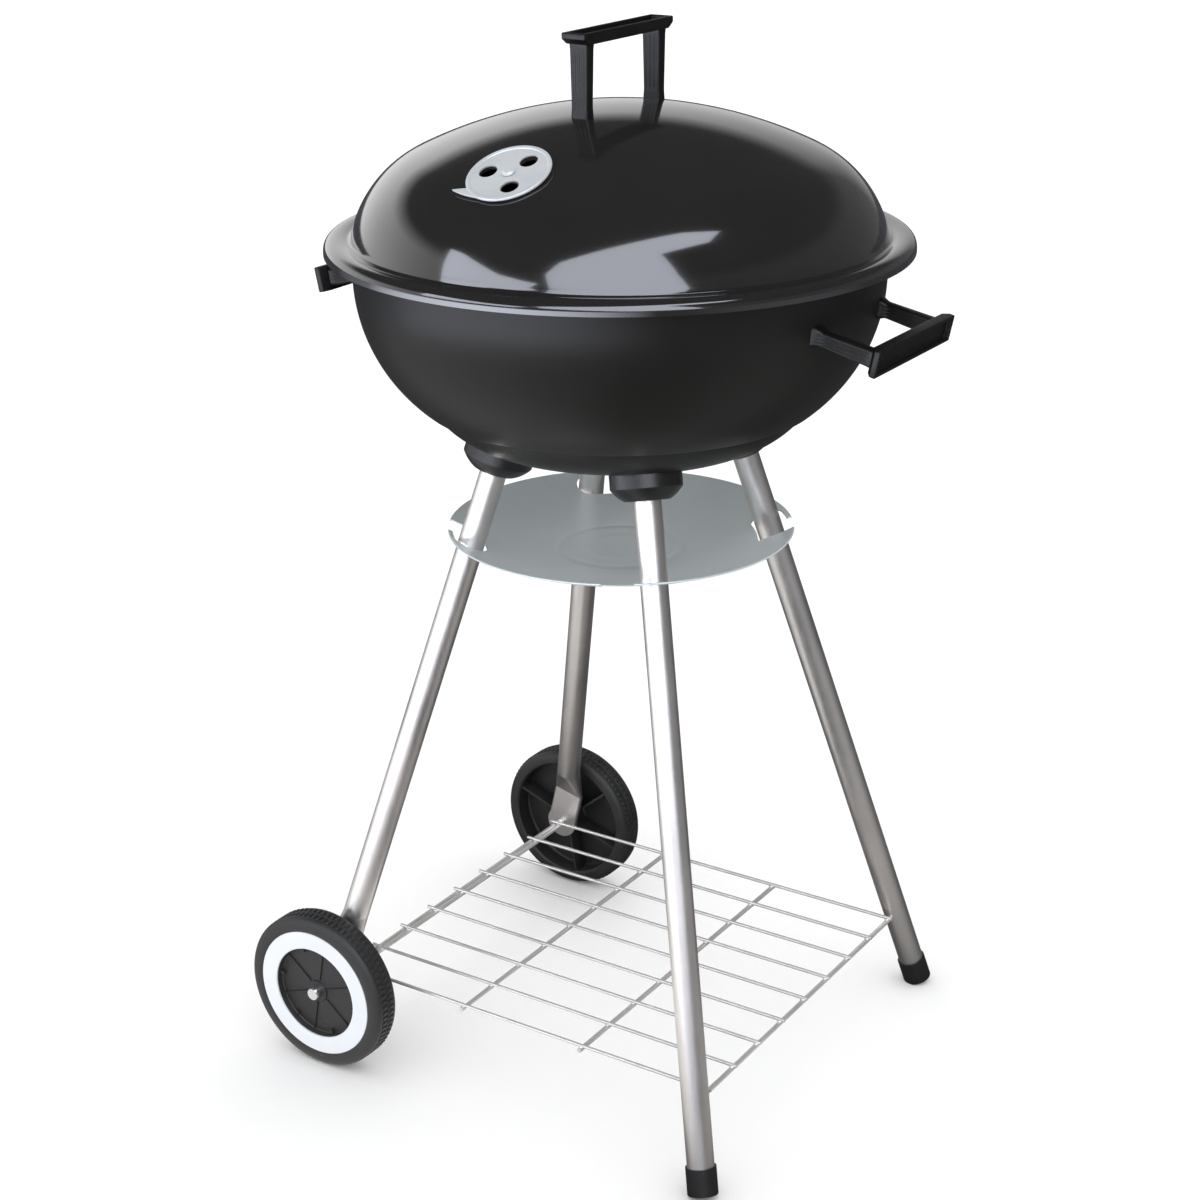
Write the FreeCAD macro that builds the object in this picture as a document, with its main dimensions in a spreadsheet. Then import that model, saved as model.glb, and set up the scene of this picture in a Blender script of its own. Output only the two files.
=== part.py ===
import FreeCAD, Part
import math
import os
from types import SimpleNamespace

import Sketcher

# Kettle charcoal grill: a bowl and a lid of enamelled sheet steel on four splayed tube legs, two of them
# on wheels, with a wire shelf, a twist-on ash catcher, two dampers and two grates.
# Millimetres, +Z up, origin on the kettle's axis at the floor. +X points from the wheels to the capped
# feet, and Y runs along the axle.

V = FreeCAD.Vector
X_AXIS = V(1, 0, 0)
Y_AXIS = V(0, 1, 0)
Z_AXIS = V(0, 0, 1)
FULL_TURN = 360.0
EIGHTH_TURN = 45.0
# Digits kept of a direction's share, so that it is a plain number in an expression.
SHARE_DIGITS = 9
# A screw's or a rivet's head stands a quarter of its width off its seat.
HEAD_FLATNESS = 4

# Every size that can be chosen by itself, in millimetres or degrees.
DRIVING_SIZES = {
    # lid: a shallow crown, a tighter shoulder and a flat flange with a turned-down skirt
    "flange_radius": 232.0,
    "flange_top": 708.6,
    "skirt_height": 9.5,
    "skirt_bend": 3.0,
    "lid_apex": 809.4,
    "crown_radius": 371.0,
    "crown_edge": 160.0,
    "shoulder_radius": 93.0,
    "lid_wall": 1.0,
    # bowl: flat floor, heel arc, a step for the charcoal grate, belly arc and a straight mouth
    "bowl_radius": 210.3,
    "bowl_wall": 1.0,
    "bowl_floor": 542.4,
    "bowl_heel": 72.0,
    "bowl_step_height": 575.0,
    "bowl_step": 5.0,
    "bowl_belly": 134.0,
    "bowl_belly_height": 680.5,
    "bowl_lip_width": 18.0,
    "bowl_lip_drop": 4.0,
    "rim_gap": 0.4,
    # legs: straight tubes, splayed by two slopes from the place of each foot
    "leg_diameter": 22.0,
    "leg_wall": 1.2,
    "leg_foot_x": 197.6,
    "leg_foot_y": 195.6,
    "leg_slope_x": 0.24,
    "leg_slope_y": 0.2295,
    "leg_top": 531.0,
    "leg_bolt": 6.0,
    "bolt_head": 13.0,
    "insert_length": 18.0,
    "socket_bottom": 521.5,
    "socket_top_radius": 28.5,
    "socket_end_radius": 18.0,
    "socket_bulge": 30.0,
    "foot_cap_height": 22.0,
    "foot_cap_wall": 1.3,
    "foot_cap_floor": 4.0,
    "foot_flat": 1.2,
    "slip_gap": 0.1,
    # wheels and axle
    "wheel_radius": 70.0,
    "wheel_width": 27.5,
    "wheel_face": 208.6,
    "tyre_depth": 12.5,
    "tyre_shoulder": 4.0,
    "ring_radius": 57.0,
    "ring_bore": 41.5,
    "ring_sheet": 1.4,
    "hub_recess": 5.0,
    "hub_radius": 9.5,
    "wheel_web": 3.0,
    "wheel_ribs": 6,
    "axle_diameter": 6.0,
    "running_gap": 0.05,
    "axle_nut_radius": 6.2,
    "axle_nut_height": 7.0,
    "pressed_width": 31.0,
    "pressed_thickness": 5.0,
    "pressed_height": 34.0,
    "pressed_blend": 28.0,
    "wheel_gap": 2.6,
    # wire shelf
    "shelf_wire": 3.0,
    "shelf_rod": 4.0,
    "shelf_wires": 9,
    "shelf_pitch": 40.4,
    "weld_depth": 0.6,
    # ash catcher
    "pan_radius": 142.5,
    "pan_rim": 466.6,
    "pan_depth": 21.0,
    "pan_floor_radius": 60.0,
    "pan_wall": 1.0,
    "pan_twist": 13.0,
    "slot_gap": 1.3,
    "slot_depth": 7.0,
    # handles: one grip bar and two arms each
    "grip_length": 127.0,
    "grip_width": 21.0,
    "grip_thickness": 9.0,
    "grip_lip": 2.6,
    "arm_spacing": 103.0,
    "arm_width": 14.5,
    "arm_thickness": 9.0,
    "arm_length": 54.0,
    "arm_taper": 1.2,
    "handle_screw": 4.0,
    "screw_head": 9.0,
    "side_handle_height": 652.0,
    "side_handle_reach": 258.0,
    "side_handle_droop": 12.0,
    # dampers
    "damper_radius": 32.5,
    "damper_sheet": 1.2,
    "damper_bead": 2.4,
    "damper_bead_rise": 1.0,
    "damper_hole": 14.0,
    "damper_pitch": 17.7,
    "damper_tab": 43.0,
    "damper_tab_root": 16.3,
    "damper_tab_tip": 4.1,
    "damper_tilt": 27.0,
    "damper_upslope": 14.7,
    "damper_gap": 0.5,
    "vent_hole": 12.5,
    "vent_drill": 24.0,
    "rivet_diameter": 6.0,
    "rivet_head": 10.0,
    # grates
    "cooking_grate_radius": 201.0,
    "cooking_grate_height": 672.0,
    "cooking_wire": 3.5,
    "cooking_wires": 23,
    "charcoal_wire": 5.0,
    "charcoal_wires": 11,
    "bracket_width": 16.0,
    "bracket_sheet": 1.5,
    "bracket_drop": 14.0,
}


class Size:
    """A length or angle that keeps both its number and the spreadsheet expression that it comes from."""

    def __init__(self, number, text):
        self.number = float(number)
        self.text = text

    def __add__(self, other):
        other = as_size(other)
        return Size(self.number + other.number, f"({self.text} + {other.text})")

    def __sub__(self, other):
        other = as_size(other)
        return Size(self.number - other.number, f"({self.text} - {other.text})")

    def __mul__(self, other):
        other = as_size(other)
        return Size(self.number * other.number, f"({self.text} * {other.text})")

    def __truediv__(self, other):
        other = as_size(other)
        return Size(self.number / other.number, f"({self.text} / {other.text})")

    def __radd__(self, other):
        return as_size(other) + self

    def __rsub__(self, other):
        return as_size(other) - self

    def __rmul__(self, other):
        return as_size(other) * self

    def __neg__(self):
        return Size(-self.number, f"(-{self.text})")

    def __float__(self):
        return self.number


def as_size(value):
    if isinstance(value, Size):
        return value
    return Size(value, repr(value))


def root(value):
    return Size(math.sqrt(value.number), f"sqrt({value.text})")


def cosine(angle):
    return Size(math.cos(math.radians(angle.number)), f"cos({angle.text})")


def sine(angle):
    return Size(math.sin(math.radians(angle.number)), f"sin({angle.text})")


def chord(radius, offset):
    """Half the width of a circle at a distance from its centre."""
    return root(radius * radius - offset * offset)


doc = FreeCAD.newDocument("KettleGrill")
sheet = doc.addObject("Spreadsheet::Sheet", "Sizes")
for row, (alias, value) in enumerate(DRIVING_SIZES.items(), start=1):
    sheet.set(f"A{row}", alias.replace("_", " "))
    sheet.set(f"B{row}", str(value))
    sheet.setAlias(f"B{row}", alias)
doc.recompute()
S = SimpleNamespace(**{alias: Size(sheet.get(alias), f"Sizes.{alias}") for alias in DRIVING_SIZES})

sub_parts = {}


def bind(item, prop, value):
    """Ties a property to the sheet, or sets it when it is a plain number."""
    if isinstance(value, Size):
        item.setExpression(prop, value.text)
    else:
        setattr(item, prop, value)


def keep(item, node):
    """Names a finished sub-part; its label is also its file's name."""
    item.Label = node
    sub_parts[node] = item
    return item


def place(item, position, rotation=FreeCAD.Rotation()):
    """Turns an item and ties its position to the sheet."""
    item.Placement = FreeCAD.Placement(V(*[float(value) for value in position]), rotation)
    for axis, value in zip("xyz", position):
        if isinstance(value, Size):
            item.setExpression(f"Placement.Base.{axis}", value.text)
    return item


def toward(direction):
    return FreeCAD.Rotation(Z_AXIS, V(*[float(value) for value in direction]))


def cylinder(name, radius, height, position=(0, 0, 0), rotation=FreeCAD.Rotation()):
    item = doc.addObject("Part::Cylinder", name)
    bind(item, "Radius", radius)
    bind(item, "Height", height)
    return place(item, position, rotation)


def block(name, length, width, height, position=(0, 0, 0), rotation=FreeCAD.Rotation()):
    item = doc.addObject("Part::Box", name)
    bind(item, "Length", length)
    bind(item, "Width", width)
    bind(item, "Height", height)
    return place(item, position, rotation)


def ball(name, radius, position=(0, 0, 0)):
    item = doc.addObject("Part::Sphere", name)
    bind(item, "Radius", radius)
    return place(item, position)


def ring(name, ring_radius, wire_radius, position=(0, 0, 0)):
    item = doc.addObject("Part::Torus", name)
    bind(item, "Radius1", ring_radius)
    bind(item, "Radius2", wire_radius)
    return place(item, position)


def fuse(name, items):
    item = doc.addObject("Part::MultiFuse", name)
    item.Shapes = items
    item.Refine = True
    return item


def group(name, items):
    item = doc.addObject("Part::Compound", name)
    item.Links = items
    return item


def cut(name, base, tools):
    item = doc.addObject("Part::Cut", name)
    item.Base = base
    item.Tool = tools[0] if len(tools) == 1 else group(name + "_tools", tools)
    return item


def common(name, base, tool):
    item = doc.addObject("Part::Common", name)
    item.Base = base
    item.Tool = tool
    return item


def new_body(name):
    return doc.addObject("PartDesign::Body", name)


def new_sketch(body, name, plane):
    sketch = body.newObject("Sketcher::SketchObject", name)
    origin_plane = next(item for item in body.Origin.OriginFeatures if item.Role == plane)
    sketch.AttachmentSupport = [(origin_plane, "")]
    sketch.MapMode = "FlatFace"
    return sketch


def pin_point(sketch, geometry, point, place_in_plane):
    """Ties a sketch point's two coordinates to the sheet."""
    for kind, axis, value in zip(("DistanceX", "DistanceY"), (-2, -1), place_in_plane):
        value = as_size(value)
        if value.number == 0:
            sketch.addConstraint(Sketcher.Constraint("PointOnObject", geometry, point, axis))
            continue
        index = sketch.addConstraint(Sketcher.Constraint(kind, geometry, point, value.number))
        if "Sizes." in value.text:
            sketch.setExpression(f"Constraints[{index}]", value.text)


def arc_between(start, end, radius):
    """The short arc between two points; a positive radius turns left on the way, a negative one right."""
    middle = (start + end) / 2
    half = (end - start) / 2
    reach = math.sqrt(max(radius * radius - half.Length ** 2, 0))
    left = V(-half.y, half.x, 0).normalize()
    centre = middle + left * math.copysign(reach, radius)
    first, last = (start, end) if radius > 0 else (end, start)
    angles = [math.atan2(point.y - centre.y, point.x - centre.x) for point in (first, last)]
    circle = Part.Circle(centre, Z_AXIS, abs(radius))
    return Part.ArcOfCircle(circle, angles[0], angles[1])


def outline(sketch, corners, arcs=None):
    """Draws a closed outline through the corners. arcs maps a corner's number to the radius of the arc that
    leaves it, positive to the left and negative to the right."""
    arcs = arcs or {}
    spots = [V(float(x), float(y), 0) for x, y in corners]
    ends = []
    for number, start in enumerate(spots):
        end = spots[(number + 1) % len(spots)]
        if number in arcs:
            radius = as_size(arcs[number])
            index = sketch.addGeometry(arc_between(start, end, radius.number))
            ends.append((index, 1, 2) if radius.number > 0 else (index, 2, 1))
        else:
            index = sketch.addGeometry(Part.LineSegment(start, end))
            ends.append((index, 1, 2))
    for number, (index, first, last) in enumerate(ends):
        next_index, next_first, _ = ends[(number + 1) % len(ends)]
        sketch.addConstraint(Sketcher.Constraint("Coincident", index, last, next_index, next_first))
        pin_point(sketch, index, first, corners[number])
        if number in arcs:
            radius = as_size(arcs[number])
            length = radius if radius.number > 0 else -radius
            row = sketch.addConstraint(Sketcher.Constraint("Radius", index, length.number))
            if "Sizes." in length.text:
                sketch.setExpression(f"Constraints[{row}]", length.text)
    return sketch


def circle_in(sketch, centre, radius):
    radius = as_size(radius)
    spot = V(float(centre[0]), float(centre[1]), 0)
    index = sketch.addGeometry(Part.Circle(spot, Z_AXIS, radius.number))
    if spot.Length == 0:
        sketch.addConstraint(Sketcher.Constraint("Coincident", index, 3, -1, 1))
    else:
        pin_point(sketch, index, 3, centre)
    row = sketch.addConstraint(Sketcher.Constraint("Radius", index, radius.number))
    sketch.setExpression(f"Constraints[{row}]", radius.text)


def rectangle_corners(width, height):
    return [(width / 2 * sx, height / 2 * sy) for sx, sy in ((-1, -1), (1, -1), (1, 1), (-1, 1))]


def revolve(body, name, corners, arcs=None):
    """Turns an outline of radius and height once about the body's own Z axis."""
    sketch = outline(new_sketch(body, name + "_outline", "XZ_Plane"), corners, arcs)
    turned = body.newObject("PartDesign::Revolution", name)
    turned.Profile = sketch
    turned.ReferenceAxis = (sketch, ["V_Axis"])
    turned.Angle = FULL_TURN
    return turned


def pad(body, name, sketch, length, reverse=False):
    grown = body.newObject("PartDesign::Pad", name)
    grown.Profile = sketch
    bind(grown, "Length", length)
    grown.Reversed = reverse
    return grown


def pocket_through(body, name, sketch):
    hollow = body.newObject("PartDesign::Pocket", name)
    hollow.Profile = sketch
    hollow.Type = 1
    hollow.Midplane = True
    return hollow


def repeat_about_z(body, name, feature, count):
    pattern = body.newObject("PartDesign::PolarPattern", name)
    pattern.Originals = [feature]
    pattern.Axis = (body.Origin.OriginFeatures[2], [""])
    pattern.Angle = FULL_TURN
    bind(pattern, "Occurrences", count)
    body.Tip = pattern
    return pattern


# ---------------------------------------------------------------- shapes that other pieces fit to

bowl_belly_centre = S.bowl_radius - S.bowl_belly
bowl_step_edge = bowl_belly_centre + chord(S.bowl_belly, S.bowl_belly_height - S.bowl_step_height)
bowl_heel_centre = S.bowl_floor + S.bowl_heel
bowl_floor_radius = bowl_step_edge - S.bowl_step - chord(S.bowl_heel, bowl_heel_centre - S.bowl_step_height)
bowl_mouth = S.flange_top - S.lid_wall - S.rim_gap
crown_centre = S.lid_apex - S.crown_radius
crown_rise = chord(S.crown_radius, S.crown_edge)
shoulder_centre_radius = S.crown_edge * (1 - S.shoulder_radius / S.crown_radius)
shoulder_centre_height = crown_centre + crown_rise * (1 - S.shoulder_radius / S.crown_radius)


def bowl_profile(inset):
    """The bowl's side from the axis up to its mouth, drawn inwards by an inset: corners and arcs."""
    belly = S.bowl_belly - inset
    heel = S.bowl_heel - inset
    step_height = S.bowl_step_height + inset
    corners = [
        (0, S.bowl_floor + inset),
        (bowl_floor_radius, S.bowl_floor + inset),
        (bowl_floor_radius + chord(heel, bowl_heel_centre - step_height), step_height),
        (bowl_belly_centre + chord(belly, S.bowl_belly_height - step_height), step_height),
        (S.bowl_radius - inset, S.bowl_belly_height),
    ]
    return corners, {1: heel, 3: belly}


def lid_profile(inset):
    """The lid's side from the axis out to its flange, drawn inwards by an inset: corners and arcs."""
    crown = S.crown_radius - inset
    shoulder = S.shoulder_radius - inset
    height = S.flange_top - inset
    corners = [
        (0, S.lid_apex - inset),
        (S.crown_edge * crown / S.crown_radius, crown_centre + crown_rise * crown / S.crown_radius),
        (shoulder_centre_radius + chord(shoulder, height - shoulder_centre_height), height),
    ]
    return corners, {0: -crown, 1: -shoulder}


def solid_form(name, profile, inset, closing_height):
    """A solid of a shell's own outline, used only to trim what meets it."""
    corners, arcs = profile(inset)
    corners = corners + [(corners[-1][0], closing_height), (0, closing_height)]
    body = new_body(name)
    revolve(body, name + "_turned", corners, arcs)
    return body


def leg_point(side_x, side_y, height):
    """A point of a leg's axis at a height."""
    x = side_x * (S.leg_foot_x - S.leg_slope_x * height)
    y = side_y * (S.leg_foot_y - S.leg_slope_y * height)
    return (x, y, height)


def leg_rotation(side_x, side_y):
    return toward((-side_x * S.leg_slope_x, -side_y * S.leg_slope_y, 1))


leg_stretch = root(1 + S.leg_slope_x * S.leg_slope_x + S.leg_slope_y * S.leg_slope_y)
leg_lean = root(S.leg_slope_x * S.leg_slope_x + S.leg_slope_y * S.leg_slope_y) / leg_stretch
leg_radius = S.leg_diameter / 2
axle_height = S.wheel_radius
axle_radius = S.axle_diameter / 2
axle_x = -(S.leg_foot_x - S.leg_slope_x * axle_height)
wheel_inner_face = S.wheel_face - S.wheel_width
pressed_middle = wheel_inner_face - S.wheel_gap - S.pressed_thickness / 2
shelf_wire_height = axle_height + axle_radius + S.shelf_wire / 2
shelf_rod_height = shelf_wire_height - S.shelf_wire / 2 - S.shelf_rod / 2 + S.weld_depth
shelf_front_x = S.leg_foot_x - S.leg_slope_x * shelf_rod_height

LEGS = {
    "wheel_leg_front": (-1, -1), "wheel_leg_back": (-1, 1),
    "foot_leg_front": (1, -1), "foot_leg_back": (1, 1),
}
SIDES = {"front": -1, "back": 1}

bowl_outside = solid_form("bowl_outside", bowl_profile, 0, bowl_mouth)
bowl_inside = solid_form("bowl_inside", bowl_profile, S.bowl_wall, bowl_mouth)
lid_outside = solid_form("lid_outside", lid_profile, 0, S.flange_top - S.skirt_height)
lid_inside = solid_form("lid_inside", lid_profile, S.lid_wall, S.flange_top - S.skirt_height)


def fastener(name, seat, rotation, shank_diameter, head_diameter, length, room):
    """A screw or bolt: a head at the seat, trimmed to a room, and a shank along the turned +Z."""
    back = rotation.multVec(V(0, 0, -1))
    sunk = head_diameter / HEAD_FLATNESS
    start = [as_size(value) + sunk * round(share, SHARE_DIGITS) for value, share in zip(seat, back)]
    blank = cylinder(name + "_head_blank", head_diameter / 2, 2 * sunk, start, rotation)
    shank = cylinder(name + "_shank", shank_diameter / 2, length + sunk, start, rotation)
    return fuse(name, [shank, common(name + "_head", blank, room)])


# ---------------------------------------------------------------- dampers

DAMPER_HOLES = 3
HOLE_LEAD = -34.0
DAMPER_TURN = 217.0
damper_centre_radius = shoulder_centre_radius + S.shoulder_radius * sine(S.damper_tilt) \
    - S.damper_upslope * cosine(S.damper_tilt)
damper_centre_height = shoulder_centre_height + S.shoulder_radius * cosine(S.damper_tilt) \
    + S.damper_upslope * sine(S.damper_tilt)
tilt_cosine = math.cos(math.radians(S.damper_tilt.number))
tilt_sine = math.sin(math.radians(S.damper_tilt.number))
vent_normal = V(0, -tilt_sine, tilt_cosine)
vent_upslope = V(0, tilt_cosine, tilt_sine)
damper_turn = FreeCAD.Rotation(Z_AXIS, DAMPER_TURN)
vent_rotation = FreeCAD.Rotation(X_AXIS, vent_upslope, vent_normal).multiply(damper_turn)
floor_rotation = FreeCAD.Rotation(X_AXIS, 180).multiply(damper_turn)


def off_vent(distance):
    """A point on the lid vent's axis, a distance out from the underside of its damper."""
    lift = S.damper_gap + distance
    return (0, -(damper_centre_radius + lift * sine(S.damper_tilt)),
            damper_centre_height + lift * cosine(S.damper_tilt))


def off_floor(distance):
    """A point on the kettle's axis, a distance down from the top of the floor damper."""
    return (0, 0, S.bowl_floor - S.damper_gap - distance)


def make_damper(node, position, rotation):
    """A riveted disc with a raised rim, three draught holes and a pointed thumb tab."""
    body = new_body(node)
    bore = S.rivet_diameter / 2 + S.running_gap
    rim = S.damper_sheet + S.damper_bead_rise
    revolve(body, node + "_disc", [
        (bore, 0), (S.damper_radius, 0), (S.damper_radius, rim), (S.damper_radius - S.damper_bead, rim),
        (S.damper_radius - S.damper_bead, S.damper_sheet), (bore, S.damper_sheet)])
    tab_root = S.damper_radius - S.damper_bead / 2
    tab = outline(new_sketch(body, node + "_tab_outline", "XY_Plane"), [
        (tab_root, -S.damper_tab_root / 2), (S.damper_tab, -S.damper_tab_tip / 2),
        (S.damper_tab, S.damper_tab_tip / 2), (tab_root, S.damper_tab_root / 2)])
    pad(body, node + "_tab", tab, S.damper_sheet)
    lead = Size(HOLE_LEAD, f"({HOLE_LEAD})")
    hole = new_sketch(body, node + "_hole_outline", "XY_Plane")
    circle_in(hole, (S.damper_pitch * cosine(lead), S.damper_pitch * sine(lead)), S.damper_hole / 2)
    holes = pocket_through(body, node + "_hole", hole)
    repeat_about_z(body, node + "_holes", holes, DAMPER_HOLES)
    return keep(place(body, position, rotation), node)


def vent_drills(name, position, rotation):
    """Drills for the draught holes under a damper and for its rivet."""
    rivet = cylinder(name + "_rivet_drill", S.rivet_diameter / 2, S.vent_drill, position, rotation)
    drills = [rivet]
    for number in range(DAMPER_HOLES):
        turn = math.radians(HOLE_LEAD + number * FULL_TURN / DAMPER_HOLES)
        arm = rotation.multVec(V(math.cos(turn), math.sin(turn), 0))
        spot = tuple(as_size(place_value) + S.damper_pitch * round(share, SHARE_DIGITS)
                     for place_value, share in zip(position, (arm.x, arm.y, arm.z)))
        drills.append(cylinder(f"{name}_drill_{number}", S.vent_hole / 2, S.vent_drill, spot, rotation))
    return drills


def make_rivet(node, out_point, rotation, sheet_wall, room):
    """A rivet with a bevelled head over the damper and a flat one on the shell's inner side."""
    inner = S.damper_gap + sheet_wall
    sunk = S.rivet_head / HEAD_FLATNESS
    length = sunk + inner + S.damper_sheet + S.damper_gap
    head_thickness = S.rivet_diameter / HEAD_FLATNESS
    shank = cylinder(node + "_shank", S.rivet_diameter / 2, length, out_point(-inner - sunk), rotation)
    outer = doc.addObject("Part::Cone", node + "_outer_head")
    bind(outer, "Radius1", S.rivet_head / 2)
    bind(outer, "Radius2", S.rivet_diameter / 2)
    bind(outer, "Height", head_thickness)
    place(outer, out_point(S.damper_sheet + S.damper_gap), rotation)
    blank = cylinder(node + "_head_blank", S.rivet_head / 2, 2 * sunk, out_point(-inner - sunk), rotation)
    inner_head = common(node + "_inner_head", blank, room)
    return keep(fuse(node, [shank, outer, inner_head]), node)


# ---------------------------------------------------------------- kettle

def reversed_side(profile, inset):
    """A profile's inner side from its outer end back to the axis, with its arcs turned round."""
    corners, arcs = profile(inset)
    last = len(corners) - 1
    return corners[::-1], {last - 1 - number: -radius for number, radius in arcs.items()}


def shell(name, profile, wall, edge_corners, edge_arcs):
    """A sheet-metal shell: a profile, the corners round its edge, and the profile's inner side."""
    outer_corners, outer_arcs = profile(0)
    inner_corners, inner_arcs = reversed_side(profile, wall)
    edge_start = len(outer_corners)
    inner_start = edge_start + len(edge_corners)
    arcs = dict(outer_arcs)
    arcs.update({edge_start + number: radius for number, radius in edge_arcs.items()})
    arcs.update({inner_start + number: radius for number, radius in inner_arcs.items()})
    body = new_body(name)
    revolve(body, name + "_turned", outer_corners + edge_corners + inner_corners, arcs)
    return body


def side_handle_frame(side):
    """The origin and turn of a side handle: +Z out along its arms, the grip's width upwards."""
    droop_cosine = math.cos(math.radians(S.side_handle_droop.number))
    droop_sine = math.sin(math.radians(S.side_handle_droop.number))
    outward = V(side * droop_cosine, 0, -droop_sine)
    upward = V(side * droop_sine, 0, droop_cosine)
    across = outward.cross(upward)
    origin = (side * (S.side_handle_reach - S.grip_thickness * cosine(S.side_handle_droop)), 0,
              S.side_handle_height + S.grip_thickness * sine(S.side_handle_droop))
    return origin, FreeCAD.Rotation(upward, across, outward)


def side_handle_seats(side):
    """Where each arm's axis meets the bowl's wall, near enough for the screw's head to be trimmed to it."""
    origin, rotation = side_handle_frame(side)
    seats = []
    for share in (-1, 1):
        across = share * S.arm_spacing / 2
        wall_x = chord(S.bowl_radius - S.bowl_wall - S.bowl_wall / 2, across)
        drop = (wall_x - side * origin[0]) * sine(S.side_handle_droop) / cosine(S.side_handle_droop)
        seats.append((side * wall_x, across, origin[2] - drop))
    return seats, rotation


def lid_handle_seats():
    seats = []
    for share in (-1, 1):
        across = share * S.arm_spacing / 2
        seats.append((0, across, crown_centre + chord(S.crown_radius, across) - S.lid_wall))
    return seats


def handle_drills(name, seats, rotation):
    """Clearance drills through a shell for the screws of a handle."""
    drills = []
    for number, seat in enumerate(seats):
        back = rotation.multVec(V(0, 0, -1))
        start = [as_size(value) + S.screw_head * round(share, SHARE_DIGITS)
                 for value, share in zip(seat, back)]
        drill_radius = S.handle_screw / 2 + S.slip_gap
        drills.append(cylinder(f"{name}_{number}", drill_radius, 2 * S.screw_head, start, rotation))
    return drills


def make_bowl():
    lip_outer = S.bowl_radius + S.bowl_lip_width
    edge = [
        (S.bowl_radius, bowl_mouth - S.bowl_wall),
        (lip_outer - S.bowl_wall, bowl_mouth - S.bowl_wall),
        (lip_outer - S.bowl_wall, bowl_mouth - S.bowl_lip_drop),
        (lip_outer, bowl_mouth - S.bowl_lip_drop),
        (lip_outer, bowl_mouth),
        (S.bowl_radius - S.bowl_wall, bowl_mouth),
    ]
    blank = shell("bowl_blank", bowl_profile, S.bowl_wall, edge, {})
    drills = vent_drills("floor", off_floor(-S.vent_drill / 2), floor_rotation)
    for side in (-1, 1):
        seats, rotation = side_handle_seats(side)
        drills += handle_drills(f"side_screw_drill_{side + 1}", seats, rotation)
    for node, (side_x, side_y) in LEGS.items():
        drills.append(cylinder(node + "_bolt_drill", S.leg_bolt / 2 + S.slip_gap, S.socket_top_radius,
                               leg_point(side_x, side_y, S.leg_top), leg_rotation(side_x, side_y)))
    keep(cut("bowl", blank, drills), "bowl")


def make_lid():
    edge = [
        (S.flange_radius - S.skirt_bend, S.flange_top),
        (S.flange_radius, S.flange_top - S.skirt_bend),
        (S.flange_radius, S.flange_top - S.skirt_height),
        (S.flange_radius - S.lid_wall, S.flange_top - S.skirt_height),
        (S.flange_radius - S.lid_wall, S.flange_top - S.skirt_bend),
        (S.flange_radius - S.skirt_bend, S.flange_top - S.lid_wall),
    ]
    bends = {0: -S.skirt_bend, 4: S.skirt_bend - S.lid_wall}
    blank = shell("lid_blank", lid_profile, S.lid_wall, edge, bends)
    drills = vent_drills("lid", off_vent(-S.vent_drill / 2), vent_rotation)
    drills += handle_drills("lid_screw_drill", lid_handle_seats(), FreeCAD.Rotation())
    keep(cut("lid", blank, drills), "lid")


# ---------------------------------------------------------------- handles

def make_handle(node, origin, rotation, shell_form, screws):
    """A grip bar with a channel in its outer face, on two tapering arms that end flat on a shell."""
    body = new_body(node + "_moulding")
    bar = outline(new_sketch(body, node + "_bar_outline", "XY_Plane"),
                  rectangle_corners(S.grip_width, S.grip_length))
    pad(body, node + "_bar", bar, S.grip_thickness)
    channel = outline(new_sketch(body, node + "_channel_outline", "XY_Plane"),
                      rectangle_corners(S.grip_width - 2 * S.grip_lip, S.grip_length - 2 * S.grip_lip))
    channel.AttachmentOffset = FreeCAD.Placement(V(0, 0, S.grip_thickness.number), FreeCAD.Rotation())
    channel.setExpression("AttachmentOffset.Base.z", S.grip_thickness.text)
    hollow = body.newObject("PartDesign::Pocket", node + "_channel")
    hollow.Profile = channel
    bind(hollow, "Length", S.grip_thickness - S.grip_lip)
    for share in (-1, 1):
        middle = share * S.arm_spacing / 2
        corners = [(x, middle + y) for x, y in rectangle_corners(S.arm_width, S.arm_thickness)]
        section = outline(new_sketch(body, f"{node}_arm_outline_{share + 1}", "XY_Plane"), corners)
        arm = pad(body, f"{node}_arm_{share + 1}", section, S.arm_length + S.screw_head, True)
        bind(arm, "TaperAngle", -S.arm_taper)
    place(body, origin, rotation)
    return keep(cut(node, body, [shell_form] + screws), node)


def make_handles():
    for side, word in ((-1, "left"), (1, "right")):
        node = f"side_handle_{word}"
        seats, rotation = side_handle_seats(side)
        screws = [fastener(f"{node}_screw_{number}", seat, rotation, S.handle_screw, S.screw_head,
                           S.arm_length / 2, bowl_inside) for number, seat in enumerate(seats)]
        keep(group(node + "_screws", screws), node + "_screws")
        origin, _ = side_handle_frame(side)
        make_handle(node, origin, rotation, bowl_outside, screws)
    screws = [fastener(f"lid_handle_screw_{number}", seat, FreeCAD.Rotation(), S.handle_screw, S.screw_head,
                       S.arm_length / 2, lid_inside) for number, seat in enumerate(lid_handle_seats())]
    keep(group("lid_handle_screws", screws), "lid_handle_screws")
    grip_height = crown_centre + chord(S.crown_radius, S.arm_spacing / 2) + S.arm_length
    make_handle("lid_handle", (0, 0, grip_height), FreeCAD.Rotation(), lid_outside, screws)


# ---------------------------------------------------------------- legs

def make_tube(name, side_x, side_y, low_height):
    """A leg's tube from a height on its axis up to the leg's top."""
    length = (S.leg_top - low_height) * leg_stretch
    start = leg_point(side_x, side_y, low_height)
    rotation = leg_rotation(side_x, side_y)
    outer = cylinder(name + "_outer", leg_radius, length, start, rotation)
    inner = cylinder(name + "_inner", leg_radius - S.leg_wall, length, start, rotation)
    return outer, inner


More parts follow.
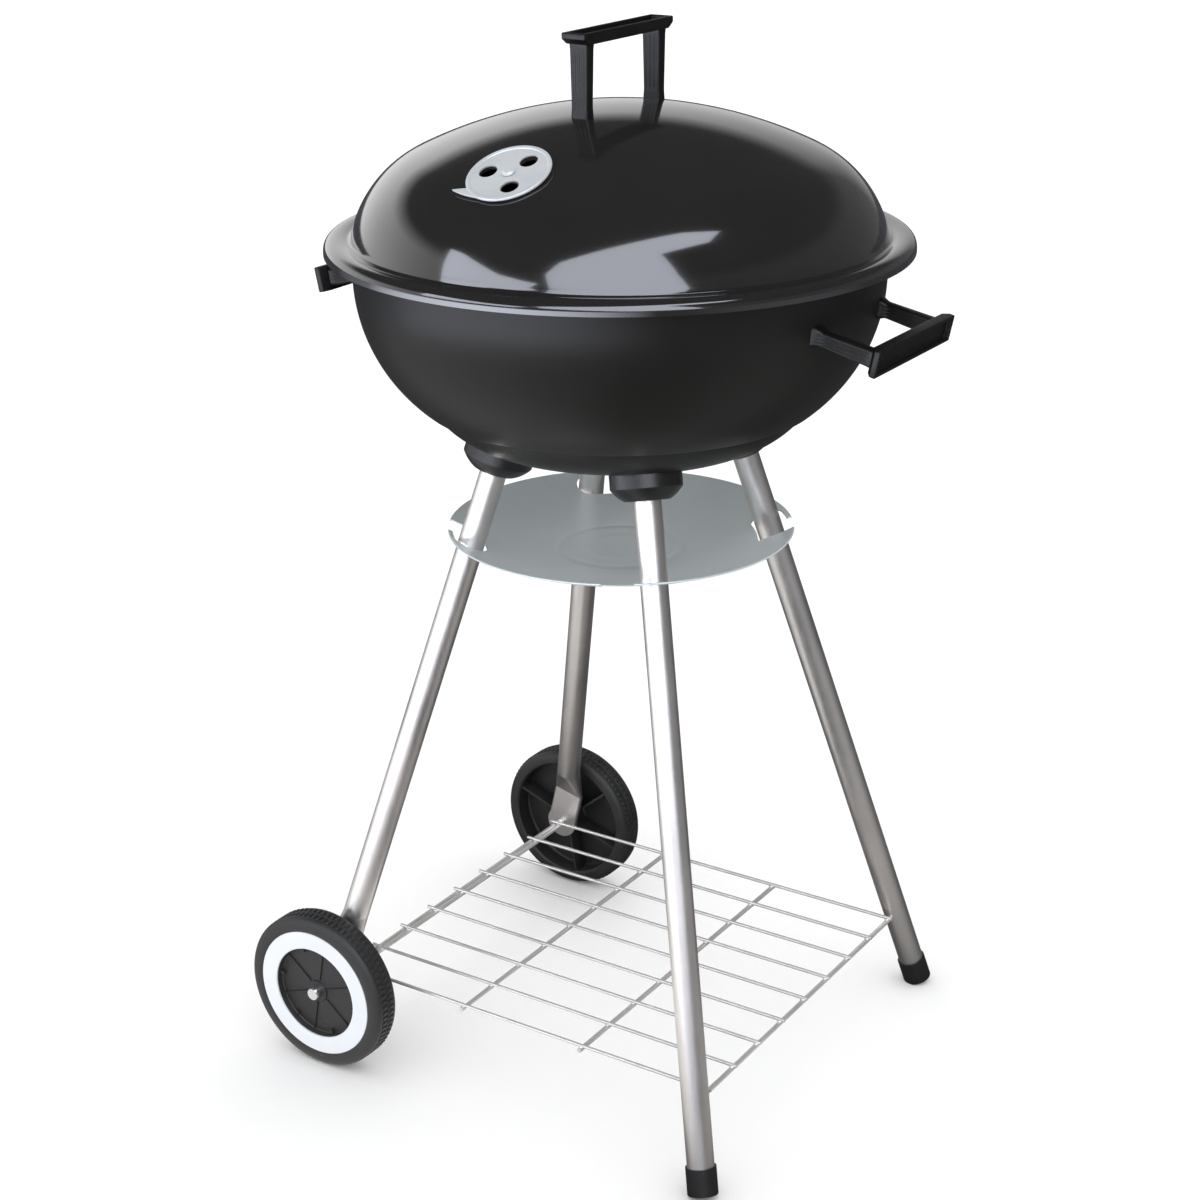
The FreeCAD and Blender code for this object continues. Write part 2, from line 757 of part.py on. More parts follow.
def make_foot_leg(node):
    """A straight tube with a hole in its inner wall for the shelf's front rod, and a plastic end cap."""
    side_x, side_y = LEGS[node]
    cap_radius = leg_radius + S.slip_gap + S.foot_cap_wall
    cap_bottom = cap_radius * leg_lean - S.foot_flat
    tube_bottom = cap_bottom + S.foot_cap_floor / leg_stretch
    outer, inner = make_tube(node, side_x, side_y, tube_bottom)
    drill = cylinder(node + "_rod_drill", S.shelf_rod / 2 + S.slip_gap, S.leg_foot_y,
                     (shelf_front_x, 0, shelf_rod_height), toward((0, side_y, 0)))
    drill.setExpression("Height", leg_point(1, 1, shelf_rod_height)[1].text)
    keep(cut(node, outer, [inner, drill]), node)
    rotation = leg_rotation(side_x, side_y)
    cap = cylinder(node + "_cap_outer", cap_radius, S.foot_cap_height,
                   leg_point(side_x, side_y, cap_bottom), rotation)
    bore = cylinder(node + "_cap_bore", leg_radius + S.slip_gap, S.foot_cap_height,
                    leg_point(side_x, side_y, tube_bottom), rotation)
    span = 4 * cap_radius
    x, y, _ = leg_point(side_x, side_y, 0)
    below = block(node + "_floor", span, span, span, (x - span / 2, y - span / 2, -span))
    cap_node = node.replace("leg", "cap")
    keep(cut(cap_node, cap, [bore, below]), cap_node)


def rounded_strip(centre, along, across, width, thickness):
    """A closed wire with two straight sides and two round ends."""
    half_length = (width - thickness) / 2
    half = thickness / 2
    signs = ((1, -1), (1, 1), (-1, 1), (-1, -1))
    corners = [centre + along * half_length * sx + across * half * sy for sx, sy in signs]
    tips = [centre + along * (half_length + half) * sx for sx in (1, -1)]
    edges = [
        Part.Arc(corners[0], tips[0], corners[1]).toShape(),
        Part.LineSegment(corners[1], corners[2]).toShape(),
        Part.Arc(corners[2], tips[1], corners[3]).toShape(),
        Part.LineSegment(corners[3], corners[0]).toShape(),
    ]
    return Part.Wire(edges)


def quartered_circle(centre, along, across, radius):
    """A circle in four arcs that match the sides and ends of a rounded strip."""
    turns = [math.radians(EIGHTH_TURN * number) for number in range(-1, 8)]
    spots = [centre + along * radius * math.cos(turn) + across * radius * math.sin(turn) for turn in turns]
    return Part.Wire([Part.Arc(*spots[number:number + 3]).toShape() for number in range(0, 8, 2)])


def pressed_end(node):
    """The flattened end of a wheel leg: the round tube blends into a flat tongue with the axle's hole."""
    side_x, side_y = LEGS[node]
    flat_top = axle_height + S.pressed_height
    blend_top = flat_top + S.pressed_blend
    tongue = V(float(axle_x), side_y * float(pressed_middle), float(axle_height))
    top = leg_point(side_x, side_y, flat_top)
    top_centre = V(float(top[0]), tongue.y, float(flat_top))
    down = tongue - top_centre
    across_tongue = V(down.z, 0, -down.x).normalize()
    strip = rounded_strip(top_centre, across_tongue, Y_AXIS,
                          float(S.pressed_width), float(S.pressed_thickness))
    axis = leg_rotation(side_x, side_y).multVec(Z_AXIS)
    along = (across_tongue - axis * across_tongue.dot(axis)).normalize()
    across = axis.cross(along)
    if across.dot(Y_AXIS) < 0:
        across = -across
    circle_centre = V(*[float(value) for value in leg_point(side_x, side_y, blend_top)])
    circle = quartered_circle(circle_centre, along, across, float(leg_radius))
    blend = Part.makeLoft([circle, strip], True, True)
    flat = Part.Face(strip).extrude(down)
    half = Y_AXIS * float(S.pressed_thickness / 2)
    eye = Part.makeCylinder(float(S.pressed_width / 2), float(S.pressed_thickness), tongue - half, Y_AXIS)
    hole_radius = float(axle_radius + S.slip_gap)
    hole = Part.makeCylinder(hole_radius, float(S.pressed_thickness), tongue - half, Y_AXIS)
    end = doc.addObject("Part::Feature", node + "_pressed_end")
    end.Shape = blend.fuse([flat, eye]).cut(hole).removeSplitter()
    return end


def make_wheel_leg(node):
    """A straight tube whose lower end is pressed flat round the axle."""
    side_x, side_y = LEGS[node]
    outer, inner = make_tube(node, side_x, side_y, axle_height + S.pressed_height + S.pressed_blend)
    keep(fuse(node, [cut(node + "_tube", outer, [inner]), pressed_end(node)]), node)


def make_socket(node, side_x, side_y):
    """A moulded cup that holds a leg's top against the bowl, trimmed to the bowl's outside."""
    top_height = (S.bowl_floor - S.socket_bottom) * leg_stretch + S.socket_top_radius
    bore_height = (S.leg_top - S.socket_bottom) * leg_stretch
    bulge_height = bore_height
    body = new_body(node + "_moulding")
    revolve(body, node + "_turned", [
        (leg_radius + S.slip_gap, 0), (S.socket_end_radius, 0), (S.socket_top_radius, bulge_height),
        (S.socket_top_radius, top_height), (S.leg_bolt / 2, top_height), (S.leg_bolt / 2, bore_height),
        (leg_radius + S.slip_gap, bore_height)], {1: S.socket_bulge})
    place(body, leg_point(side_x, side_y, S.socket_bottom), leg_rotation(side_x, side_y))
    keep(cut(node, body, [bowl_outside]), node)


def make_leg_fixings():
    """A threaded plug pressed into each leg's top, and a bolt down through the bowl and the cup."""
    bolts = []
    plugs = []
    for node, (side_x, side_y) in LEGS.items():
        down = leg_rotation(side_x, side_y).multiply(FreeCAD.Rotation(X_AXIS, 180))
        seat = leg_point(side_x, side_y, S.bowl_floor + S.bowl_wall)
        length = (seat[2] - S.leg_top) * leg_stretch + S.insert_length
        bolt = fastener(node + "_bolt", seat, down, S.leg_bolt, S.bolt_head, length, bowl_inside)
        bolts.append(bolt)
        top = leg_point(side_x, side_y, S.leg_top)
        plug = cylinder(node + "_plug", leg_radius - S.leg_wall, S.insert_length, top, down)
        bore = cylinder(node + "_plug_bore", S.leg_bolt / 2, S.insert_length, top, down)
        plugs.append(cut(node + "_threaded_plug", plug, [bore]))
    keep(group("leg_bolts", bolts), "leg_bolts")
    keep(group("leg_plugs", plugs), "leg_plugs")


def make_legs():
    for node, (side_x, side_y) in LEGS.items():
        if side_x < 0:
            make_wheel_leg(node)
        else:
            make_foot_leg(node)
        make_socket(node.replace("leg", "socket"), side_x, side_y)
    make_leg_fixings()


# ---------------------------------------------------------------- wheels

def make_wheel(word, side):
    """A moulded wheel: tyre, web, hub and ribs on both faces, and a flat trim ring let into its outside."""
    node = f"wheel_{word}"
    body = new_body(node)
    bore = axle_radius + S.running_gap
    hub_face = S.wheel_width - S.hub_recess
    web_back = hub_face - S.wheel_web
    tyre_inside = S.wheel_radius - S.tyre_depth
    shoulder = S.wheel_radius - S.tyre_shoulder
    ring_floor = S.wheel_width - S.ring_sheet
    revolve(body, node + "_turned", [
        (bore, 0), (S.hub_radius, 0), (S.hub_radius, web_back), (tyre_inside, web_back), (tyre_inside, 0),
        (shoulder, 0), (S.wheel_radius, S.tyre_shoulder), (S.wheel_radius, S.wheel_width - S.tyre_shoulder),
        (shoulder, S.wheel_width), (S.ring_radius, S.wheel_width), (S.ring_radius, ring_floor),
        (S.ring_bore, ring_floor), (S.ring_bore, hub_face), (bore, hub_face)],
        {5: S.tyre_shoulder, 7: S.tyre_shoulder})
    spoke = outline(new_sketch(body, node + "_spoke_outline", "XY_Plane"), [
        (S.hub_radius - S.wheel_web / 2, -S.wheel_web / 2), (tyre_inside + S.wheel_web / 2, -S.wheel_web / 2),
        (tyre_inside + S.wheel_web / 2, S.wheel_web / 2), (S.hub_radius - S.wheel_web / 2, S.wheel_web / 2)])
    spokes = pad(body, node + "_spoke", spoke, web_back + S.wheel_web / 2)
    repeat_about_z(body, node + "_spokes", spokes, S.wheel_ribs)
    rib = outline(new_sketch(body, node + "_rib_outline", "XY_Plane"), [
        (S.hub_radius, -S.wheel_web / 2), (S.ring_bore + S.wheel_web / 2, -S.wheel_web / 2),
        (S.ring_bore + S.wheel_web / 2, S.wheel_web / 2), (S.hub_radius, S.wheel_web / 2)])
    rib.AttachmentOffset = FreeCAD.Placement(V(0, 0, float(web_back)), FreeCAD.Rotation())
    rib.setExpression("AttachmentOffset.Base.z", web_back.text)
    ribs = pad(body, node + "_rib", rib, S.wheel_web + S.hub_recess - S.ring_sheet)
    repeat_about_z(body, node + "_ribs", ribs, S.wheel_ribs)
    rotation = toward((0, side, 0))
    keep(place(body, (axle_x, side * wheel_inner_face, axle_height), rotation), node)
    start = (axle_x, side * (S.wheel_face - S.ring_sheet), axle_height)
    disc = cylinder(node + "_ring_disc", S.ring_radius - S.slip_gap, S.ring_sheet, start, rotation)
    eye = cylinder(node + "_ring_eye", S.ring_bore, S.ring_sheet, start, rotation)
    ring_node = f"wheel_ring_{word}"
    keep(cut(ring_node, disc, [eye]), ring_node)


def make_axle_nut(word, side):
    """A domed nut on the axle's end, just clear of the wheel's hub."""
    seat = S.wheel_face - S.hub_recess + S.rim_gap
    body_height = S.axle_nut_height / 2
    rotation = toward((0, side, 0))
    foot = (axle_x, side * seat, axle_height)
    dome_centre = (axle_x, side * (seat + body_height), axle_height)
    barrel = cylinder(f"axle_nut_barrel_{word}", S.axle_nut_radius, body_height, foot, rotation)
    dome = ball(f"axle_nut_ball_{word}", S.axle_nut_radius, dome_centre)
    slab = cylinder(f"axle_nut_slab_{word}", S.axle_nut_radius, S.axle_nut_height, foot, rotation)
    bore = cylinder(f"axle_nut_bore_{word}", axle_radius, body_height + axle_radius, foot, rotation)
    crown = common(f"axle_nut_crown_{word}", dome, slab)
    return cut(f"axle_nut_{word}", fuse(f"axle_nut_blank_{word}", [barrel, crown]), [bore])


def make_axle():
    end = S.wheel_face - S.hub_recess + S.rim_gap + S.axle_nut_height / 2 + axle_radius
    keep(cylinder("axle", axle_radius, 2 * end, (axle_x, -end, axle_height), toward((0, 1, 0))), "axle")
    keep(group("axle_nuts", [make_axle_nut(word, side) for word, side in SIDES.items()]), "axle_nuts")
    washers = []
    start = pressed_middle + S.pressed_thickness / 2
    for word, side in SIDES.items():
        rotation = toward((0, side, 0))
        spot = (axle_x, side * start, axle_height)
        disc = cylinder(f"axle_washer_disc_{word}", S.hub_radius, S.wheel_gap - S.rim_gap, spot, rotation)
        bore = cylinder(f"axle_washer_bore_{word}", axle_radius, S.wheel_gap, spot, rotation)
        washers.append(cut(f"axle_washer_{word}", disc, [bore]))
    keep(group("axle_washers", washers), "axle_washers")


# ---------------------------------------------------------------- shelf, ash catcher and grates

SHELF_RODS = 3
GRATE_BARS = 2
BRACKETS = 4


def make_shelf():
    """Nine wires from the axle to the front rod, welded on four rods; the front rod's ends enter the legs."""
    wires = []
    count = round(float(S.shelf_wires))
    overhang = S.shelf_rod
    start_x = axle_x - overhang
    length = shelf_front_x + overhang - start_x
    half_width = S.shelf_pitch * (S.shelf_wires - 1) / 2 + overhang
    for number in range(count):
        y = S.shelf_pitch * (number - (S.shelf_wires - 1) / 2)
        start = (start_x, y, shelf_wire_height)
        wires.append(cylinder(f"shelf_wire_{number}", S.shelf_wire / 2, length, start, toward((1, 0, 0))))
    rear_x = axle_x + axle_radius + S.shelf_rod / 2 + S.rim_gap
    spread = shelf_front_x - rear_x
    for number in range(SHELF_RODS):
        x = rear_x + spread * number / SHELF_RODS
        wires.append(cylinder(f"shelf_rod_{number}", S.shelf_rod / 2, 2 * half_width,
                              (x, -half_width, shelf_rod_height), toward((0, 1, 0))))
    reach = leg_point(1, 1, shelf_rod_height)[1]
    start = (shelf_front_x, -reach, shelf_rod_height)
    wires.append(cylinder("shelf_front_rod", S.shelf_rod / 2, 2 * reach, start, toward((0, 1, 0))))
    keep(fuse("shelf", wires), "shelf")


def make_ash_catcher():
    """A shallow dish that the legs lock into: each enters a notch and is held at a short slot's end."""
    low = S.pan_rim - S.pan_depth
    spread = S.pan_radius - S.pan_floor_radius
    curve = (spread * spread + S.pan_depth * S.pan_depth) / (2 * S.pan_depth)
    lip = S.pan_floor_radius + chord(curve - S.pan_wall, curve - S.pan_depth)
    dish = new_body("ash_catcher_dish")
    revolve(dish, "ash_catcher_turned", [
        (0, low), (S.pan_floor_radius, low), (S.pan_radius, S.pan_rim), (lip, S.pan_rim),
        (S.pan_floor_radius, low + S.pan_wall), (0, low + S.pan_wall)],
        {1: curve, 3: -(curve - S.pan_wall)})
    slot_height = S.pan_rim - S.slot_depth
    half_slot = leg_radius * leg_stretch + S.slot_gap
    tools = []
    for node, (side_x, side_y) in LEGS.items():
        x, y, _ = leg_point(side_x, side_y, slot_height)
        leg_reach = root(x * x + y * y)
        azimuth = math.degrees(math.atan2(float(y), float(x)))
        start = low - S.pan_depth
        height = 3 * S.pan_depth
        tools.append(cylinder(node + "_slot_end", half_slot, height, (x, y, start)))
        back = FreeCAD.Rotation(Z_AXIS, azimuth - S.pan_twist.number)
        outer = cylinder(node + "_slot_outer", leg_reach + half_slot, height, (0, 0, start), back)
        bind(outer, "Angle", S.pan_twist)
        inner = cylinder(node + "_slot_inner", leg_reach - half_slot, height, (0, 0, start))
        tools.append(cut(node + "_slot", outer, [inner]))
        corner = back.multVec(V(float(leg_reach - half_slot), -float(half_slot), 0))
        notch = block(node + "_notch", S.pan_radius, 2 * half_slot, height)
        notch.Placement = FreeCAD.Placement(V(corner.x, corner.y, float(start)), back)
        tools.append(notch)
    keep(cut("ash_catcher", dish, tools), "ash_catcher")


def make_grate(node, ring_radius, ring_height, wire, count, bars):
    """A round grate: a ring and cross bars below, and straight wires welded across the top."""
    upper = ring_height + wire - S.weld_depth
    forward = toward((1, 0, 0))
    sideways = toward((0, 1, 0))
    pieces = [ring(node + "_ring", ring_radius, wire / 2, (0, 0, ring_height))]
    pitch = 2 * ring_radius / (count + 1)
    for number in range(count):
        y = pitch * (number - (count - 1) / 2)
        half = chord(ring_radius, y)
        pieces.append(cylinder(f"{node}_wire_{number}", wire / 2, 2 * half, (-half, y, upper), forward))
    for number in range(bars):
        x = ring_radius * (2 * number + 1 - bars) / bars
        half = chord(ring_radius, x)
        pieces.append(cylinder(f"{node}_bar_{number}", wire / 2, 2 * half, (x, -half, ring_height), sideways))
    keep(fuse(node, pieces), node)


def make_grates():
    cooking_ring = S.cooking_grate_radius - S.cooking_wire / 2
    make_grate("cooking_grate", cooking_ring, S.cooking_grate_height, S.cooking_wire,
               round(float(S.cooking_wires)), GRATE_BARS)
    step_top = S.bowl_step_height + S.bowl_wall
    step_outer = bowl_belly_centre + chord(S.bowl_belly - S.bowl_wall, S.bowl_belly_height - step_top)
    charcoal_ring = step_outer - S.charcoal_wire
    make_grate("charcoal_grate", charcoal_ring, step_top + S.charcoal_wire / 2, S.charcoal_wire,
               round(float(S.charcoal_wires)), GRATE_BARS)
    brackets = []
    shelf_top = S.cooking_grate_height - S.cooking_wire / 2
    inner_edge = cooking_ring - S.bracket_width / 2
    for number in range(BRACKETS):
        turn = FreeCAD.Rotation(Z_AXIS, EIGHTH_TURN + FULL_TURN / BRACKETS * number)
        ledge = block(f"bracket_ledge_{number}", S.bowl_radius - inner_edge, S.bracket_width, S.bracket_sheet)
        stem = block(f"bracket_stem_{number}", S.bracket_width, S.bracket_width, S.bracket_drop)
        for piece, x, depth in ((ledge, inner_edge, S.bracket_sheet),
                                (stem, S.bowl_radius - 4 * S.bracket_sheet, S.bracket_drop)):
            corner = turn.multVec(V(float(x), -float(S.bracket_width / 2), 0))
            piece.Placement = FreeCAD.Placement(V(corner.x, corner.y, float(shelf_top - depth)), turn)
        blank = fuse(f"bracket_blank_{number}", [ledge, stem])
        brackets.append(common(f"bracket_{number}", blank, bowl_inside))
    keep(group("grate_brackets", brackets), "grate_brackets")


def build():
    make_bowl()
    make_lid()
    make_damper("lid_damper", off_vent(0), vent_rotation)
    make_rivet("lid_damper_rivet", off_vent, vent_rotation, S.lid_wall, lid_inside)
    make_damper("floor_damper", off_floor(0), floor_rotation)
    make_rivet("floor_damper_rivet", off_floor, floor_rotation, S.bowl_wall, bowl_inside)
    make_handles()
    make_legs()
    for word, side in SIDES.items():
        make_wheel(word, side)
    make_axle()
    make_shelf()
    make_ash_catcher()
    make_grates()
    doc.recompute()


def check():
    """Stops the build if any object failed or any sub-part isn't a sound solid."""
    for item in doc.Objects:
        if "Invalid" in item.State or "Error" in item.State:
            raise RuntimeError(f"{item.Name} failed: {item.State}")
    for node, item in sub_parts.items():
        shape = item.Shape
        if shape.isNull() or not shape.isValid() or not shape.Solids:
            raise RuntimeError(f"{node} is not a sound solid")


def export():
    os.makedirs("parts", exist_ok=True)
    for node, item in sub_parts.items():
        item.Shape.exportStep(f"parts/{node}.step")


build()
check()
export()
print(len(sub_parts), "sub-parts")
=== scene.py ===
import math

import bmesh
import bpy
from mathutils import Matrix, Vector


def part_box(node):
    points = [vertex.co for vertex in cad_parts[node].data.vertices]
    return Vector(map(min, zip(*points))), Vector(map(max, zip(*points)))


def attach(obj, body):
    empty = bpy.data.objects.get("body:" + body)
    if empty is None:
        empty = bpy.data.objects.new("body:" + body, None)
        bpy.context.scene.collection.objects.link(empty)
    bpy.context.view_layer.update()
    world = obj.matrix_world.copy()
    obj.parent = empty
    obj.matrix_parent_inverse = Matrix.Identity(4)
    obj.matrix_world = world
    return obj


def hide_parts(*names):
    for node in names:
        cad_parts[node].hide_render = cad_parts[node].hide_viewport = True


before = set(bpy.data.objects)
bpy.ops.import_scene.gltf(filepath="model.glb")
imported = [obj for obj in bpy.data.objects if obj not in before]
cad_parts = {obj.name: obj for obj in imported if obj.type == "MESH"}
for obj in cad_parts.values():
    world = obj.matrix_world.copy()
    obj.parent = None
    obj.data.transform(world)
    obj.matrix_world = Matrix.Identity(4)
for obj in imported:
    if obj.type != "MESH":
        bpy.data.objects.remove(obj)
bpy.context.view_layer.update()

# %% [markdown]
# # A kettle charcoal grill, built around its CAD frame
# The frame holds the grill's true sizes, places and moving bodies. Each cell below makes one piece or one
# finish around it. Pieces that catch long reflections, such as the enamelled shells, are rebuilt here
# with dense, smooth meshes; tread blocks, ribs and weld beads are repeated by Geometry Nodes; plain
# fittings keep their CAD mesh and only get a better material.

MM = 0.001
X_AXIS = Vector((1, 0, 0))
Y_AXIS = Vector((0, 1, 0))
Z_AXIS = Vector((0, 0, 1))

# %% [markdown]
# ## Small tools
# A finished piece is a mesh whose object sits at the origin, so that patterns on Object coordinates stay
# where they are and a moving body can carry it. `finish_piece` names the piece, gives it its material,
# hangs it on the empty of the CAD body that carries it and hides the CAD nodes it stands for.

# %% Tools that finish a piece
def link(name, mesh):
    piece = bpy.data.objects.new(name, mesh)
    bpy.context.scene.collection.objects.link(piece)
    return piece


def smooth_by_angle(mesh, degrees=35):
    """Smooth shading, with edges sharper than the angle kept crisp."""
    shape = bmesh.new()
    shape.from_mesh(mesh)
    limit = math.radians(degrees)
    for face in shape.faces:
        face.smooth = True
    for edge in shape.edges:
        edge.smooth = len(edge.link_faces) == 2 and edge.calc_face_angle(0) < limit
    shape.to_mesh(mesh)
    shape.free()


def finish_piece(mesh, name, body, material, nodes, degrees=35):
    mesh.materials.clear()
    mesh.materials.append(material)
    smooth_by_angle(mesh, degrees)
    piece = link(name, mesh)
    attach(piece, body)
    if nodes:
        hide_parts(*nodes)
    print(name, len(mesh.polygons), "faces")
    return piece


def mesh_of(shape, name):
    """A bmesh as a mesh, with its doubles merged and its faces turned outwards."""
    bmesh.ops.remove_doubles(shape, verts=shape.verts, dist=1e-6)
    bmesh.ops.recalc_face_normals(shape, faces=shape.faces)
    mesh = bpy.data.meshes.new(name)
    shape.to_mesh(mesh)
    shape.free()
    return mesh


def evaluated(piece, name):
    """The piece's mesh with its modifiers applied; the piece itself is removed."""
    graph = bpy.context.evaluated_depsgraph_get()
    mesh = bpy.data.meshes.new_from_object(piece.evaluated_get(graph))
    mesh.name = name
    bpy.data.objects.remove(piece)
    return mesh


def closed_outwards(mesh):
    """Merges doubles and turns every face outwards."""
    shape = bmesh.new()
    shape.from_mesh(mesh)
    bmesh.ops.remove_doubles(shape, verts=shape.verts, dist=1e-6)
    bmesh.ops.recalc_face_normals(shape, faces=shape.faces)
    shape.to_mesh(mesh)
    shape.free()
    return mesh


def carved(mesh, cutters, name):
    """The mesh with other meshes cut out of it."""
    piece = link(name, mesh)
    tools = []
    for number, cutter in enumerate(cutters):
        tool = link(f"{name}_cutter_{number}", cutter)
        tools.append(tool)
        step = piece.modifiers.new(f"cut_{number}", "BOOLEAN")
        step.operation = "DIFFERENCE"
        step.solver = "EXACT"
        step.object = tool
    result = evaluated(piece, name)
    for tool in tools:
        bpy.data.objects.remove(tool)
    return result


def bevelled(mesh, width, name, segments=3, degrees=40):
    piece = link(name, mesh)
    step = piece.modifiers.new("bevel", "BEVEL")
    step.width = width
    step.segments = segments
    step.limit_method = "ANGLE"
    step.angle_limit = math.radians(degrees)
    step.harden_normals = False
    return evaluated(piece, name)


def frame_from(axis_x, axis_y, axis_z, origin):
    matrix = Matrix.Identity(4)
    for column, axis in enumerate((axis_x, axis_y, axis_z, origin)):
        for row in range(3):
            matrix[row][column] = axis[row]
    return matrix


def rod(start, end, radius, name, sides=32):
    """A plain round bar between two points, used as a cutter."""
    axis = Vector(end) - Vector(start)
    turn = Z_AXIS.rotation_difference(axis).to_matrix().to_4x4()
    shape = bmesh.new()
    place = Matrix.Translation((Vector(start) + Vector(end)) / 2) @ turn
    bmesh.ops.create_cone(shape, cap_ends=True, segments=sides, radius1=radius, radius2=radius,
                          depth=axis.length, matrix=place)
    return mesh_of(shape, name)


# %% [markdown]
# ## A lathe made of Geometry Nodes
# The lid, bowl, dish, wheels and dampers are all turned shapes: one side outline swept round an axis.
# Spinning by hand in Edit Mode would work once; a node tree works for every turned piece, and its
# number of steps and its material are named inputs. The outline is a row of edges drawn as radius and
# height. The tree sweeps it round a unit circle, merges the poles and gives the result its material.

# %% The lathe tree
def new_tree(name, inputs):
    tree = bpy.data.node_groups.new(name, "GeometryNodeTree")
    tree.interface.new_socket("Geometry", in_out="INPUT", socket_type="NodeSocketGeometry")
    for label, kind, value in inputs:
        socket = tree.interface.new_socket(label, in_out="INPUT", socket_type=f"NodeSocket{kind}")
        if value is not None:
            socket.default_value = value
    tree.interface.new_socket("Geometry", in_out="OUTPUT", socket_type="NodeSocketGeometry")
    return tree, tree.nodes.new("NodeGroupInput"), tree.nodes.new("NodeGroupOutput")


def set_input(step, label, value):
    """Sets a node modifier's input, found by its label and set by its identifier."""
    for item in step.node_group.interface.items_tree:
        if item.item_type == "SOCKET" and item.in_out == "INPUT" and item.name == label:
            step[item.identifier] = value
            return
    raise KeyError(label)


def finish_tree(tree, source, group_in, group_out):
    """Ends a tree in Realize Instances and Set Material."""
    realize = tree.nodes.new("GeometryNodeRealizeInstances")
    paint = tree.nodes.new("GeometryNodeSetMaterial")
    tree.links.new(source, realize.inputs["Geometry"])
    tree.links.new(realize.outputs["Geometry"], paint.inputs["Geometry"])
    tree.links.new(group_in.outputs["Material"], paint.inputs["Material"])
    tree.links.new(paint.outputs["Geometry"], group_out.inputs["Geometry"])


def make_lathe_tree():
    tree, group_in, group_out = new_tree("lathe", [("Steps", "Int", 192), ("Material", "Material", None)])
    nodes, links = tree.nodes, tree.links
    place = nodes.new("GeometryNodeTransform")
    place.inputs["Translation"].default_value = (-1, 0, 0)
    place.inputs["Scale"].default_value = (1, -1, 1)
    outline = nodes.new("GeometryNodeMeshToCurve")
    path = nodes.new("GeometryNodeCurvePrimitiveCircle")
    sweep = nodes.new("GeometryNodeCurveToMesh")
    merge = nodes.new("GeometryNodeMergeByDistance")
    merge.inputs["Distance"].default_value = 1e-5
    links.new(group_in.outputs["Geometry"], place.inputs["Geometry"])
    links.new(place.outputs["Geometry"], outline.inputs["Mesh"])
    links.new(group_in.outputs["Steps"], path.inputs["Resolution"])
    links.new(path.outputs["Curve"], sweep.inputs["Curve"])
    links.new(outline.outputs["Curve"], sweep.inputs["Profile Curve"])
    links.new(sweep.outputs["Mesh"], merge.inputs["Geometry"])
    finish_tree(tree, merge.outputs["Geometry"], group_in, group_out)
    return tree


LATHE = make_lathe_tree()


def turned(outline, name, material, steps=192, closed=True, matrix=None):
    """A turned mesh. outline is a list of (radius, height) pairs; a closed one comes back to its start."""
    count = len(outline)
    edges = [(number, number + 1) for number in range(count - 1)]
    if closed:
        edges.append((count - 1, 0))
    mesh = bpy.data.meshes.new(name + "_outline")
    mesh.from_pydata([(radius, height, 0) for radius, height in outline], edges, [])
    piece = link(name, mesh)
    step = piece.modifiers.new("lathe", "NODES")
    step.node_group = LATHE
    set_input(step, "Steps", steps)
    set_input(step, "Material", material)
    result = closed_outwards(evaluated(piece, name))
    if matrix is not None:
        result.transform(matrix)
    return result


def arc(centre, radius, start, end, count):
    """Points of an arc; angles in degrees from the outward direction, turning upwards."""
    return [(centre[0] + radius * math.cos(math.radians(start + (end - start) * step / count)),
             centre[1] + radius * math.sin(math.radians(start + (end - start) * step / count)))
            for step in range(count + 1)]

# %% [markdown]
# ## A ring of copies
# Ribs, tread blocks and spokes repeat round an axle. One copy is modelled, and this tree repeats
# it: it puts points on a circle of no size, turns each copy to its own angle and joins the result into
# one mesh.

# %% The polar array tree
def make_polar_tree():
    tree, group_in, group_out = new_tree(
        "polar_array", [("Count", "Int", 6), ("Phase", "Float", 0.0), ("Material", "Material", None)])
    nodes, links = tree.nodes, tree.links
    points = nodes.new("GeometryNodeMeshLine")
    points.inputs["Offset"].default_value = (0, 0, 0)
    number = nodes.new("GeometryNodeInputIndex")
    share = nodes.new("ShaderNodeMath")
    share.operation = "DIVIDE"
    whole = nodes.new("ShaderNodeMath")
    whole.operation = "MULTIPLY_ADD"
    whole.inputs[1].default_value = math.tau
    turn = nodes.new("ShaderNodeCombineXYZ")
    euler = nodes.new("FunctionNodeEulerToRotation")
    copies = nodes.new("GeometryNodeInstanceOnPoints")
    links.new(group_in.outputs["Count"], points.inputs["Count"])
    links.new(number.outputs["Index"], share.inputs[0])
    links.new(group_in.outputs["Count"], share.inputs[1])
    links.new(share.outputs[0], whole.inputs[0])
    links.new(group_in.outputs["Phase"], whole.inputs[2])
    links.new(whole.outputs[0], turn.inputs["Z"])
    links.new(turn.outputs["Vector"], euler.inputs["Euler"])
    links.new(points.outputs["Mesh"], copies.inputs["Points"])
    links.new(group_in.outputs["Geometry"], copies.inputs["Instance"])
    links.new(euler.outputs["Rotation"], copies.inputs["Rotation"])
    finish_tree(tree, copies.outputs["Instances"], group_in, group_out)
    return tree


POLAR = make_polar_tree()


def round_the_axis(mesh, count, name, material, phase=0.0):
    """The mesh repeated round its Z axis."""
    piece = link(name, mesh)
    step = piece.modifiers.new("copies", "NODES")
    step.node_group = POLAR
    set_input(step, "Count", count)
    set_input(step, "Phase", math.radians(phase))
    set_input(step, "Material", material)
    return evaluated(piece, name)


def joined(meshes, name, matrix=None):
    """Several meshes as one."""
    shape = bmesh.new()
    for mesh in meshes:
        shape.from_mesh(mesh)
    result = bpy.data.meshes.new(name)
    shape.to_mesh(result)
    shape.free()
    if matrix is not None:
        result.transform(matrix)
    return result


